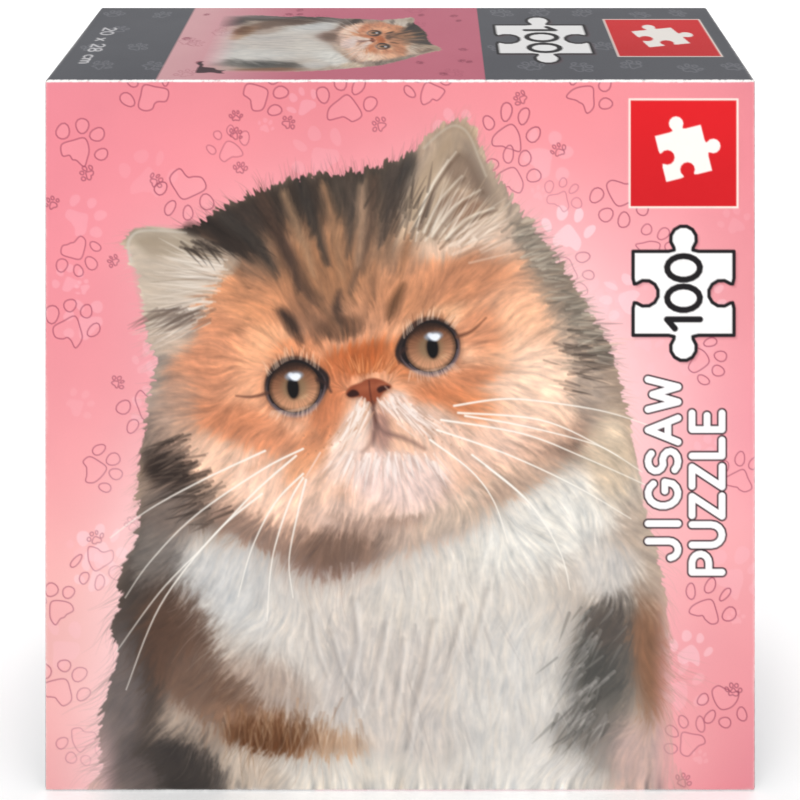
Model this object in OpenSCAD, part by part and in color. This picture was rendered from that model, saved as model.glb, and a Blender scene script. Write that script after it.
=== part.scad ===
// Boxed jigsaw puzzle.
// A square telescoping card box that stands on its lower edge: a full-depth lid
// slides forward off a tray, and the tray holds a sealed film bag of loose
// die-cut pieces. X is left to right, -Y is the picture face, +Z is up.
// The origin is at the middle of the lower edge face of the closed box.

/* [Box] */
// Width of the closed box, left to right
box_w = 145; // [140:1:160]
// Height of the closed box as it stands
box_h = 145; // [140:1:160]
// Depth of the closed box, picture face to back
box_d = 43; // [41:1:60]
// Thickness of the grey board in the lid and the tray
board_t = 1.2; // [1:0.1:1.5]
// Thickness of the printed paper glued over the board
wrap_t = 0.2; // [0.1:0.05:0.3]
// Width of the paper turned in over each rim
turn_in = 13; // [8:1:18]
// Gap between the tray and the paper inside the lid, on each side
fit_gap = 0.4; // [0.3:0.05:0.6]
// Gap between the tray's rim and the inside of the lid's picture panel
rim_gap = 0.3; // [0.3:0.1:1]
// How far the lid's rim stops short of the tray's back
rim_step = 0.2; // [0:0.1:1]

/* [Corner stays] */
// Thickness of the paper tape that holds each board corner
stay_t = 0.12; // [0.1:0.01:0.2]
// Width of that tape on each side of a corner
stay_w = 10; // [6:1:16]

/* [Bag] */
// Thickness of the bag's film
film_t = 0.15; // [0.1:0.05:0.3]
// Thickness of the filled bag
bag_t = 25.4; // [25.4:0.2:28]
// Gap between the bag's seam and the paper inside the tray
bag_gap = 0.5; // [0.3:0.1:1]
// Width of the bag's heat-sealed seam
seam_w = 1.35; // [1:0.05:2]

/* [Puzzle] */
// Columns of pieces in the finished picture
columns = 10; // [10]
// Rows of pieces in the finished picture
rows = 10; // [10]
// Width of the finished picture
puzzle_w = 200; // [190:1:200]
// Height of the finished picture
puzzle_h = 280; // [260:1:280]
// Thickness of the puzzle board
piece_t = 2; // [1.5:0.1:2]
// Radius of a connecting knob
knob_r = 2.4; // [2:0.1:2.4]

/* [Hidden] */
// Name of the node that holds a pair of pieces
function pair_name(n) = str("piece_pair_", n < 10 ? "0" : "", n);
pairs = 50;

// Half sizes and depth levels of the lid
lid_hx = box_w / 2;
lid_hz = box_h / 2;
front_y = -box_d / 2;
back_y = box_d / 2;
mid_z = box_h / 2;
lid_rim_y = back_y - rim_step;
lid_inner_y = front_y + wrap_t + board_t;

// Half sizes and depth levels of the tray
tray_hx = lid_hx - 2 * wrap_t - board_t - fit_gap;
tray_hz = lid_hz - 2 * wrap_t - board_t - fit_gap;
tray_rim_y = lid_inner_y + rim_gap;
tray_floor_y = back_y - wrap_t - board_t;
tray_in_hx = tray_hx - 2 * wrap_t - board_t;
tray_in_hz = tray_hz - 2 * wrap_t - board_t;

// The bag: seam plane half way through its thickness
bag_back_y = tray_floor_y - 0.3;
bag_front_y = bag_back_y - bag_t;
bag_mid_y = (bag_front_y + bag_back_y) / 2;
seam_hx = tray_in_hx - bag_gap;
seam_hz = tray_in_hz - bag_gap;
bag_hx = seam_hx - seam_w;
bag_hz = seam_hz - seam_w;
bag_in_hx = bag_hx - film_t;
bag_in_hz = bag_hz - film_t;

// Size of one piece, and the circle that holds it at any turn
piece_w = puzzle_w / columns;
piece_h = puzzle_h / rows;
reach = piece_h / 2 + knob_r * 1.94;
// Loose layers in the bag: twelve pieces each, in four staggered rows of three
per_layer = 12;
layer_pitch = (bag_t - 2 * film_t - 0.4) / ceil(columns * rows / per_layer);
slot_dx = (2 * bag_in_hx - 2 * reach) / 2.5;
slot_dz = (2 * bag_in_hz - 2 * reach) / 3;

// A repeatable scatter between 0 and 1
function scatter(n) = let (v = sin(n * 137.508 + 11.7) * 917.31) v - floor(v);

// ---- box walls ----

// A block from half sizes about the box's middle height and two depth levels
module block(hx, hz, y0, y1) {
    translate([-hx, y0, mid_z - hz]) cube([2 * hx, y1 - y0, 2 * hz]);
}

// Walls between two half sizes, open along Y
module sleeve(hx, hz, t, y0, y1) {
    difference() {
        block(hx, hz, y0, y1);
        block(hx - t, hz - t, y0 - 1, y1 + 1);
    }
}

// One strip of corner tape, an L in section, at the corner in direction sx, sz
module stay(hx, hz, sx, sz, y0, y1) {
    translate([0, y0, mid_z]) scale([sx, 1, sz])
        difference() {
            translate([hx - stay_w, 0, hz - stay_w]) cube([stay_w, y1 - y0, stay_w]);
            translate([hx - stay_w - 1, -1, hz - stay_w - 1])
                cube([stay_w + 1 - stay_t, y1 - y0 + 2, stay_w + 1 - stay_t]);
        }
}

module stays(hx, hz, y0, y1) {
    for (sx = [-1, 1], sz = [-1, 1]) stay(hx, hz, sx, sz, y0, y1);
}

// Grey board of the lid: one scored blank folded into a picture panel and four sides
module lid_board() {
    color("#a39c90") difference() {
        block(lid_hx - wrap_t, lid_hz - wrap_t, front_y + wrap_t, lid_rim_y - wrap_t);
        block(lid_hx - wrap_t - board_t, lid_hz - wrap_t - board_t, lid_inner_y, back_y + 1);
        stays(lid_hx - wrap_t, lid_hz - wrap_t, front_y + wrap_t, lid_rim_y - wrap_t);
    }
}

// Tape pressed flush into the lid's four board corners, under the printed paper
module lid_corner_stays() {
    color("#d9c7a0")
        stays(lid_hx - wrap_t, lid_hz - wrap_t, front_y + wrap_t, lid_rim_y - wrap_t);
}

// Printed paper over the lid, folded over the rim and glued inside
module lid_wrap() {
    color("#f29aa2") {
        difference() {
            block(lid_hx, lid_hz, front_y, lid_rim_y);
            block(lid_hx - wrap_t, lid_hz - wrap_t, front_y + wrap_t, lid_rim_y - wrap_t);
            block(lid_hx - 2 * wrap_t - board_t, lid_hz - 2 * wrap_t - board_t,
                lid_rim_y - turn_in, back_y + 1);
        }
        sleeve(lid_hx - wrap_t - board_t, lid_hz - wrap_t - board_t, wrap_t,
            lid_rim_y - turn_in, lid_rim_y - wrap_t);
    }
}

// Grey board of the tray: the back panel and four sides
module tray_board() {
    color("#a39c90") difference() {
        block(tray_hx - wrap_t, tray_hz - wrap_t, tray_rim_y + wrap_t, back_y - wrap_t);
        block(tray_hx - wrap_t - board_t, tray_hz - wrap_t - board_t, front_y, tray_floor_y);
        stays(tray_hx - wrap_t, tray_hz - wrap_t, tray_rim_y + wrap_t, back_y - wrap_t);
    }
}

// Tape pressed flush into the tray's four board corners
module tray_corner_stays() {
    color("#d9c7a0")
        stays(tray_hx - wrap_t, tray_hz - wrap_t, tray_rim_y + wrap_t, back_y - wrap_t);
}

// Paper over the tray, folded over its rim and glued inside
module tray_wrap() {
    color("#5c5d63") {
        difference() {
            block(tray_hx, tray_hz, tray_rim_y, back_y);
            block(tray_hx - wrap_t, tray_hz - wrap_t, tray_rim_y + wrap_t, back_y - wrap_t);
            block(tray_in_hx, tray_in_hz, tray_rim_y - 1, tray_rim_y + turn_in);
        }
        sleeve(tray_in_hx + wrap_t, tray_in_hz + wrap_t, wrap_t,
            tray_rim_y + wrap_t, tray_rim_y + turn_in);
    }
}

// ---- bag ----

// One face of the bag: a shallow pan of film with its half of the sealed seam
module film_pan(y_face, y_seam, dir) {
    lo = min(y_face, y_seam);
    hi = max(y_face, y_seam);
    difference() {
        union() {
            block(bag_hx, bag_hz, lo, hi);
            block(seam_hx, seam_hz, min(y_seam, y_seam - dir * film_t), max(y_seam, y_seam - dir * film_t));
        }
        block(bag_in_hx, bag_in_hz,
            dir > 0 ? lo + film_t : lo - 1, dir > 0 ? hi + 1 : hi - film_t);
    }
}

module bag_front_film() {
    color("#e8eef2", 0.4) film_pan(bag_front_y, bag_mid_y, 1);
}

module bag_back_film() {
    color("#e8eef2", 0.4) film_pan(bag_back_y, bag_mid_y, -1);
}

// ---- puzzle pieces ----

// Cut line of one edge, from 0 to len along u, with its knob to +v or -v:
// e is the edge's own number, which sets the knob's side, place and size
function cut(len, e) = let (
        side = scatter(e) > 0.5 ? 1 : -1,
        c = len / 2 + (scatter(e + 0.31) - 0.5) * 0.12 * piece_w,
        r = knob_r * (0.92 + 0.1 * scatter(e + 0.57)),
        bow = (scatter(e + 0.83) - 0.5) * 0.8)
    concat([[0, 0], [0.2 * len, bow * 0.8], [c - 1.35 * r, bow * 0.4], [c - 0.95 * r, side * 0.03 * r]],
        [for (s = [0:7]) let (a = 220 - s * 260 / 7)
            [c + r * cos(a), side * (0.83 * r + r * sin(a))]],
        [[c + 0.95 * r, side * 0.03 * r], [c + 1.35 * r, -bow * 0.4], [0.8 * len, -bow * 0.8], [len, 0]]);

// A straight outer edge of the picture
function plain(len) = [[0, 0], [len, 0]];

// Cut lines between rows (j from 0) and between columns (i from 0)
function row_cut(i, j) = j == 0 || j == rows ? plain(piece_w) : cut(piece_w, 11 + i * 31 + j * 7);
function column_cut(i, j) = i == 0 || i == columns ? plain(piece_h) : cut(piece_h, 503 + i * 17 + j * 29);

function but_last(p) = [for (n = [0:len(p) - 2]) p[n]];
function backwards(p) = [for (n = [len(p) - 1:-1:1]) p[n]];

// Outline of the piece in column i, row j, about its own middle
function outline(i, j) = let (x0 = -piece_w / 2, y0 = -piece_h / 2)
    concat(
        [for (p = but_last(row_cut(i, j))) [x0 + p[0], y0 + p[1]]],
        [for (p = but_last(column_cut(i + 1, j))) [x0 + piece_w + p[1], y0 + p[0]]],
        [for (p = backwards(row_cut(i, j + 1))) [x0 + p[0], y0 + piece_h + p[1]]],
        [for (p = backwards(column_cut(i, j))) [x0 + p[1], y0 + p[0]]]);

// Piece number k, counted from 0 along the rows, where it lies in the bag
module loose_piece(k) {
    i = k % columns;
    j = floor(k / columns);
    slot = (k * 37 + 11) % (columns * rows);
    layer = floor(slot / per_layer);
    place = slot % per_layer;
    row = floor(place / 3);
    stagger = (row + layer) % 2;
    x = -bag_in_hx + reach + ((place % 3) + stagger * 0.5) * slot_dx;
    z = mid_z - bag_in_hz + reach + row * slot_dz;
    y = bag_back_y - film_t - 0.2 - (layer + 0.5) * layer_pitch;
    translate([x, y, z])
        rotate([90 + (scatter(k + 0.17) - 0.5) * 1.6, 0, 0])
        rotate([0, scatter(k + 0.43) > 0.4 ? 0 : 180, 360 * scatter(k + 0.71)])
        translate([0, 0, -piece_t / 2])
        linear_extrude(height = piece_t) polygon(outline(i, j));
}

// Two neighbouring pieces of the picture
module piece_pair(n) {
    color([0.95 - 0.3 * (n % 5) / 5, 0.6 + 0.2 * (n % 3) / 3, 0.6])
        for (k = [2 * (n - 1), 2 * n - 1]) loose_piece(k);
}

lid_board();
lid_wrap();
lid_corner_stays();
tray_board();
tray_wrap();
tray_corner_stays();
bag_front_film();
bag_back_film();
for (n = [1:pairs])
    piece_pair(n);
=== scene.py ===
import bpy
import math
import numpy as np
from mathutils import Matrix, Vector, geometry


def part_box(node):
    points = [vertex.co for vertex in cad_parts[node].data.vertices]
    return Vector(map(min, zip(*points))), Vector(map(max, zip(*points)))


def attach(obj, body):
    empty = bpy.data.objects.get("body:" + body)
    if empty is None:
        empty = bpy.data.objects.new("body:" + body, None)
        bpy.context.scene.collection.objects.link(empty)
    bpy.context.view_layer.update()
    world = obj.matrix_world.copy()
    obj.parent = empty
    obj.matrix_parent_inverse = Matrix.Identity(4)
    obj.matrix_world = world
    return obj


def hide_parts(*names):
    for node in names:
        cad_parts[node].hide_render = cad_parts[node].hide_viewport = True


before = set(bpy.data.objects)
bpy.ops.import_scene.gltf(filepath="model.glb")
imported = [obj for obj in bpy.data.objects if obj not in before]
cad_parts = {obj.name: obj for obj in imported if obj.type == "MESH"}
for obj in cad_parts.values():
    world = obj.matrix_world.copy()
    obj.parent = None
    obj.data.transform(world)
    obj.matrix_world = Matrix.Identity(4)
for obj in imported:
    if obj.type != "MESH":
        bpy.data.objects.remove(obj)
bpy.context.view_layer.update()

# A boxed jigsaw puzzle in one frame: X left to right, the picture faces -Y, Z up.
# The lid's printed paper, the tray's paper, the film bag and the hundred die-cut
# pieces are made here; the boards and corner tapes are the CAD nodes themselves.


# ------------------------------------------------------------------ painting
# The printed paper is painted in numbers: flat arrays of colour worked out
# from shapes, strokes and noise, which end up as vertex colours.


def blur(a, sigma):
    """Three box passes, close to a Gaussian."""
    r = max(1, int(round(sigma * 1.0)))
    out = a.astype(np.float32)
    for axis in (0, 1):
        for _ in range(3):
            pad = [(0, 0)] * out.ndim
            pad[axis] = (r + 1, r)
            c = np.cumsum(np.pad(out, pad, mode="edge"), axis=axis, dtype=np.float64)
            n = out.shape[axis]
            hi = np.take(c, np.arange(2 * r + 1, n + 2 * r + 1), axis=axis)
            lo = np.take(c, np.arange(0, n), axis=axis)
            out = ((hi - lo) / (2 * r + 1)).astype(np.float32)
    return out


def resize(a, h, w):
    """Bilinear resampling to h by w."""
    ys = np.linspace(0, a.shape[0] - 1, h)
    xs = np.linspace(0, a.shape[1] - 1, w)
    y0 = np.minimum(ys.astype(int), a.shape[0] - 2)
    x0 = np.minimum(xs.astype(int), a.shape[1] - 2)
    fy = (ys - y0).astype(np.float32)
    fx = (xs - x0).astype(np.float32)
    if a.ndim == 3:
        fy, fx = fy[:, None, None], fx[None, :, None]
    else:
        fy, fx = fy[:, None], fx[None, :]
    top = a[y0][:, x0] * (1 - fx) + a[y0][:, x0 + 1] * fx
    low = a[y0 + 1][:, x0] * (1 - fx) + a[y0 + 1][:, x0 + 1] * fx
    return (top * (1 - fy) + low * fy).astype(np.float32)


def soft_noise(h, w, cell, seed):
    """Smooth noise of about cell pixels, mean 0, spread 1."""
    r = np.random.RandomState(seed)
    g = r.randn(max(3, int(h / cell) + 3), max(3, int(w / cell) + 3)).astype(np.float32)
    a = blur(resize(g, h, w), max(1, cell * 0.3))
    return (a - a.mean()) / (a.std() + 1e-6)


def rgb(r, g, b):
    return np.array((r, g, b), np.float32) / 255.0


def curve(points, n=8, closed=False):
    """Points of a smooth line through the given ones."""
    p = np.array(points, float)
    m = len(p)
    out = []
    for i in range(m if closed else m - 1):
        if closed:
            a, b, c, d = p[i - 1], p[i], p[(i + 1) % m], p[(i + 2) % m]
        else:
            a, b, c, d = p[max(i - 1, 0)], p[i], p[i + 1], p[min(i + 2, m - 1)]
        for t in np.arange(n) / n:
            out.append(
                0.5 * ((2 * b) + (c - a) * t + (2 * a - 5 * b + 4 * c - d) * t * t
                       + (3 * b - a - 3 * c + d) * t ** 3))
    if not closed:
        out.append(p[-1])
    return np.array(out)


def line_field(X, Y, pts):
    """Distance to a polyline, and how far along it the nearest point is."""
    best = np.full(X.shape, 1e9, np.float32)
    along = np.zeros(X.shape, np.float32)
    seg = np.hypot(*np.diff(pts, axis=0).T)
    total = max(seg.sum(), 1e-6)
    run = 0.0
    for (ax, ay), (bx, by), ln in zip(pts[:-1], pts[1:], seg):
        dx, dy = bx - ax, by - ay
        t = np.clip(((X - ax) * dx + (Y - ay) * dy) / max(dx * dx + dy * dy, 1e-9), 0, 1)
        d = np.hypot(X - ax - t * dx, Y - ay - t * dy)
        near = d < best
        best = np.where(near, d, best)
        along = np.where(near, (run + t * ln) / total, along)
        run += ln
    return best, along


def inside(X, Y, pts):
    ins = np.zeros(X.shape, bool)
    for (ax, ay), (bx, by) in zip(pts, np.roll(pts, -1, axis=0)):
        if ay == by:
            continue
        cross = ((ay > Y) != (by > Y)) & (X < (bx - ax) * (Y - ay) / (by - ay) + ax)
        ins ^= cross
    return ins


class Sheet:
    """A painted sheet. x runs right and y down, in the sheet's own units."""

    def __init__(self, x0, y0, x1, y1, k):
        self.x0, self.y0, self.k = x0, y0, k
        self.w, self.h = int(round((x1 - x0) * k)), int(round((y1 - y0) * k))
        self.a = np.zeros((self.h, self.w, 3), np.float32)

    def part(self, x0, y0, x1, y1):
        i0 = max(0, int((y0 - self.y0) * self.k) - 2)
        i1 = min(self.h, int((y1 - self.y0) * self.k) + 3)
        j0 = max(0, int((x0 - self.x0) * self.k) - 2)
        j1 = min(self.w, int((x1 - self.x0) * self.k) + 3)
        if i1 <= i0 or j1 <= j0:
            return None
        Y, X = np.mgrid[i0:i1, j0:j1].astype(np.float32)
        return (slice(i0, i1), slice(j0, j1)), (X + 0.5) / self.k + self.x0, (Y + 0.5) / self.k + self.y0

    def lay(self, sl, cover, colour):
        cover = np.clip(cover, 0, 1)[..., None]
        self.a[sl] = self.a[sl] * (1 - cover) + np.asarray(colour, np.float32) * cover

    def stroke(self, pts, w0, w1, colour, alpha=1.0, soft=0.0, belly=0.0):
        pts = np.asarray(pts, float)
        m = max(w0, w1) + belly + soft + 1
        p = self.part(pts[:, 0].min() - m, pts[:, 1].min() - m, pts[:, 0].max() + m, pts[:, 1].max() + m)
        if p is None:
            return
        sl, X, Y = p
        d, t = line_field(X, Y, pts)
        hw = w0 + (w1 - w0) * t + belly * np.sin(np.pi * t)
        edge = soft + 0.5 / self.k
        self.lay(sl, np.clip((hw - d) / (2 * edge) + 0.5, 0, 1) * alpha, colour)

    def shape(self, pts, colour, alpha=1.0, soft=0.0, line=0.0, line_colour=None, line_alpha=1.0, shade=None):
        pts = np.asarray(pts, float)
        m = soft + line + 1
        p = self.part(pts[:, 0].min() - m, pts[:, 1].min() - m, pts[:, 0].max() + m, pts[:, 1].max() + m)
        if p is None:
            return
        sl, X, Y = p
        d, _ = line_field(X, Y, np.vstack([pts, pts[:1]]))
        sd = np.where(inside(X, Y, pts), d, -d)
        edge = soft + 0.5 / self.k
        if colour is not None:
            self.lay(sl, np.clip(sd / (2 * edge) + 0.5, 0, 1) * alpha, colour)
        if line:
            self.lay(sl, np.clip((line - d) * self.k + 0.5, 0, 1) * line_alpha, line_colour)


def oval(cx, cy, rx, ry, ang=0.0, n=20, wob=0.0, seed=0):
    r = np.random.RandomState(seed)
    t = np.arange(n) * 2 * math.pi / n
    k = 1 + wob * (np.sin(2 * t + r.rand() * 6) * 0.6 + np.sin(3 * t + r.rand() * 6) * 0.5)
    x, y = rx * k * np.cos(t), ry * k * np.sin(t)
    c, s = math.cos(math.radians(ang)), math.sin(math.radians(ang))
    return np.stack([cx + x * c - y * s, cy + x * s + y * c], 1)


# ---- lettering: round-ended strokes on a 0..1 wide, 0..1 high cell (y down)
def _arc(cx, cy, rx, ry, a0, a1, n=9):
    t = np.radians(np.linspace(a0, a1, n))
    return [(cx + rx * math.cos(v), cy + ry * math.sin(v)) for v in t]


GLYPHS = {
    "J": [[(0.62, 0.0), (0.62, 0.68)] + _arc(0.34, 0.70, 0.28, 0.30, 0, 170)],
    "I": [[(0.3, 0.0), (0.3, 1.0)]],
    "G": [_arc(0.42, 0.5, 0.42, 0.5, -40, -320, 14) + [(0.80, 0.56), (0.50, 0.56)]],
    "S": [_arc(0.36, 0.26, 0.32, 0.26, -35, -250, 9) + _arc(0.36, 0.74, 0.34, 0.26, -80, 145, 9)],
    "A": [[(0.0, 1.0), (0.4, 0.0), (0.8, 1.0)], [(0.16, 0.66), (0.64, 0.66)]],
    "W": [[(0.0, 0.0), (0.25, 1.0), (0.5, 0.15), (0.75, 1.0), (1.0, 0.0)]],
    "P": [[(0.05, 1.0), (0.05, 0.0), (0.36, 0.0)] + _arc(0.36, 0.28, 0.30, 0.28, -80, 90) + [(0.05, 0.56)]],
    "U": [[(0.0, 0.0), (0.0, 0.62)] + _arc(0.34, 0.64, 0.34, 0.36, 180, 0) + [(0.68, 0.0)]],
    "Z": [[(0.02, 0.0), (0.66, 0.0), (0.0, 1.0), (0.68, 1.0)]],
    "L": [[(0.05, 0.0), (0.05, 1.0), (0.58, 1.0)]],
    "E": [[(0.60, 0.0), (0.05, 0.0), (0.05, 1.0), (0.60, 1.0)], [(0.05, 0.5), (0.52, 0.5)]],
    "1": [[(0.06, 0.24), (0.34, 0.0), (0.34, 1.0)]],
    "0": [_arc(0.36, 0.5, 0.36, 0.5, 0, 360, 18)],
    "2": [_arc(0.34, 0.28, 0.32, 0.28, -165, 35, 9) + [(0.0, 1.0), (0.68, 1.0)]],
    "8": [_arc(0.35, 0.25, 0.28, 0.25, 90, 450, 14), _arc(0.35, 0.75, 0.35, 0.26, -90, 270, 14)],
    "x": [[(0.05, 0.38), (0.60, 1.0)], [(0.60, 0.38), (0.05, 1.0)]],
    "c": [_arc(0.33, 0.68, 0.33, 0.32, -45, -315, 10)],
    "m": [[(0.0, 1.0), (0.0, 0.38)], [(0.0, 0.62)] + _arc(0.24, 0.62, 0.22, 0.24, 180, 360, 7) + [(0.46, 1.0)],
          [(0.46, 0.62)] + _arc(0.70, 0.62, 0.22, 0.24, 180, 360, 7) + [(0.92, 1.0)]],
    " ": [],
}
WIDE = {"J": .62, "I": .6, "G": .84, "S": .72, "A": .8, "W": 1.0, "P": .68, "U": .68, "Z": .7, "L": .6, "E": .64,
        "1": .42, "0": .72, "2": .7, "8": .7, "x": .66, "c": .6, "m": .94, " ": .3}


def word(sheet, text, x, y, size, gap, turn, layers, wide=1.0):
    """Letters from (x, y), size high, turned by turn degrees; layers of (half width, colour, alpha)."""
    c, s = math.cos(math.radians(turn)), math.sin(math.radians(turn))
    lines = []
    run = 0.0
    for ch in text:
        for poly in GLYPHS[ch]:
            p = np.array([(run + px * size * wide, py * size) for px, py in poly])
            lines.append(np.stack([x + p[:, 0] * c - p[:, 1] * s, y + p[:, 0] * s + p[:, 1] * c], 1))
        run += WIDE[ch] * size * wide + gap
    for hw, colour, alpha in layers:
        for p in lines:
            sheet.stroke(p, hw, hw, colour, alpha)
    return run - gap


PAD = [(0, -0.44), (0.30, -0.20), (0.54, 0.14), (0.44, 0.42), (0.16, 0.38), (0, 0.34), (-0.16, 0.38), (-0.44, 0.42),
       (-0.54, 0.14), (-0.30, -0.20)]
TOES = [(-0.80, -0.30, -28), (-0.30, -0.82, -8), (0.32, -0.82, 10), (0.80, -0.28, 28)]


def paw(sheet, x, y, size, ang, fill=None, fill_alpha=1.0, line=0.0, colour=None, alpha=1.0, seed=0):
    r = np.random.RandomState(seed)
    c, s = math.cos(math.radians(ang)), math.sin(math.radians(ang))

    def place(p):
        p = np.asarray(p) * size
        return np.stack([x + p[:, 0] * c - p[:, 1] * s, y + p[:, 0] * s + p[:, 1] * c], 1)

    shapes = [curve([(px * (1 + 0.16 * r.randn() * 0.6), py * (1 + 0.1 * r.randn())) for px, py in PAD], 4, True)]
    for tx, ty, ta in TOES:
        shapes.append(oval(tx, ty, 0.20 + 0.03 * r.randn(), 0.27 + 0.03 * r.randn(), ta, 14, 0.10, r.randint(9999)))
    for p in shapes:
        sheet.shape(place(p), fill, fill_alpha, 0.0, line, colour, alpha)


def ground(sheet, spots, seed):
    """A soft gradient through coloured spots (x, y, colour, reach)."""
    h, w = max(8, sheet.h // 8), max(8, sheet.w // 8)
    Y, X = np.mgrid[0:h, 0:w].astype(np.float32)
    X = X / (w - 1) * sheet.w / sheet.k + sheet.x0
    Y = Y / (h - 1) * sheet.h / sheet.k + sheet.y0
    num = np.zeros((h, w, 3), np.float32)
    den = np.zeros((h, w, 1), np.float32)
    for x, y, colour, reach in spots:
        g = np.exp(-((X - x) ** 2 + (Y - y) ** 2) / (2.0 * reach * reach))[..., None] + 1e-9
        num += g * colour
        den += g
    g = num / den
    g *= (1 + 0.012 * soft_noise(h, w, 22, seed))[..., None]
    sheet.a[:] = resize(g, sheet.h, sheet.w)


# palette of the picture
PINK, PINK_DEEP, PINK_DARK = rgb(243, 145, 154), rgb(236, 140, 152), rgb(228, 138, 150)
PEACH, BLUSH, ROSE_MIST = rgb(250, 190, 184), rgb(247, 176, 182), rgb(252, 206, 206)
PAW_LINE = rgb(150, 58, 80)
PAW_FILL = rgb(253, 196, 208)
CREAM, WHITE_FUR, COOL_WHITE = rgb(240, 214, 196), rgb(216, 204, 193), rgb(198, 195, 192)
ORANGE, DEEP_ORANGE, PEACH_FUR = rgb(232, 168, 130), rgb(194, 108, 62), rgb(249, 204, 176)
TAN, BROWN, DARK_BROWN = rgb(168, 132, 102), rgb(122, 88, 66), rgb(74, 56, 47)
CHARCOAL, GREY_BROWN, OLIVE = rgb(56, 50, 46), rgb(126, 112, 102), rgb(160, 146, 126)

# outline of the cat, clockwise from the left ear's tip
CAT = [(127, 240), (130, 231), (140, 228), (160, 228), (182, 229), (203, 224), (224, 210), (248, 198), (275, 187),
       (299, 181), (323, 178), (351, 175), (379, 168), (402, 160), (420, 146), (438, 130), (452, 122), (464, 124),
       (473, 133), (482, 151), (492, 173), (507, 196), (523, 217), (540, 241), (558, 265), (575, 292), (592, 323),
       (606, 346), (616, 372), (624, 403), (631, 437), (638, 472), (644, 515), (656, 556), (666, 608), (670, 655),
       (672, 700), (672, 752), (668, 800), (400, 806), (108, 800), (103, 770), (101, 740), (104, 713), (113, 675),
       (119, 651), (112, 628), (124, 600), (121, 573), (137, 540), (140, 505), (138, 480), (144, 441), (150, 411),
       (155, 385), (157, 358), (150, 337), (148, 317), (145, 292), (138, 268), (129, 252)]

# which way the fur lies: x, y, direction
LIE = [(365, 362, 0, -1), (300, 330, -.5, -.86), (250, 340, -.8, -.5), (330, 280, -.28, -.95), (300, 230, -.28, -.95),
       (380, 250, .12, -.98), (420, 255, .32, -.92), (350, 200, 0, -1), (270, 205, -.4, -.9), (460, 290, .62, -.75),
       (520, 300, .85, -.5), (560, 300, .85, -.4), (590, 360, .98, .12), (500, 370, .98, .15), (560, 420, .9, .45),
       (605, 440, .85, .55), (480, 420, .85, .5), (430, 395, .75, .62), (450, 460, .65, .8), (400, 440, .3, .95),
       (390, 490, .05, 1), (342, 430, -.35, .95), (320, 460, -.42, .9), (280, 440, -.62, .8), (240, 420, -.85, .5),
       (200, 380, -.97, .15), (170, 400, -.95, .3), (170, 460, -.85, .6), (230, 480, -.7, .7), (300, 500, -.4, .9),
       (150, 245, -.9, -.1), (160, 300, -.95, .15), (170, 330, -.93, .32), (200, 260, -.85, -.35), (440, 160, .5, -.86),
       (462, 200, .72, -.7), (482, 220, .85, -.5), (420, 200, .35, -.93), (520, 240, .8, -.6), (235, 225, -.75, -.6),
       (395, 180, .1, -1), (150, 520, -.7, .7), (130, 600, -.8, .6), (115, 700, -.85, .5), (200, 560, -.5, .86),
       (250, 600, -.3, .95), (200, 680, -.55, .83), (300, 710, -.1, 1), (350, 640, .08, 1), (420, 650, -.12, 1),
       (420, 560, .1, 1), (370, 525, -.15, 1), (480, 560, .3, .95), (560, 540, .6, .8), (500, 680, .05, 1),
       (600, 620, -.7, .7), (640, 600, .35, .93), (610, 690, -.75, .65), (560, 760, -.3, .95), (400, 770, 0, 1),
       (250, 770, -.35, .93), (150, 770, -.8, .6), (650, 480, .6, .8), (662, 560, .7, .7), (668, 680, .75, .65),
       (560, 640, -.5, .86)]

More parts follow.
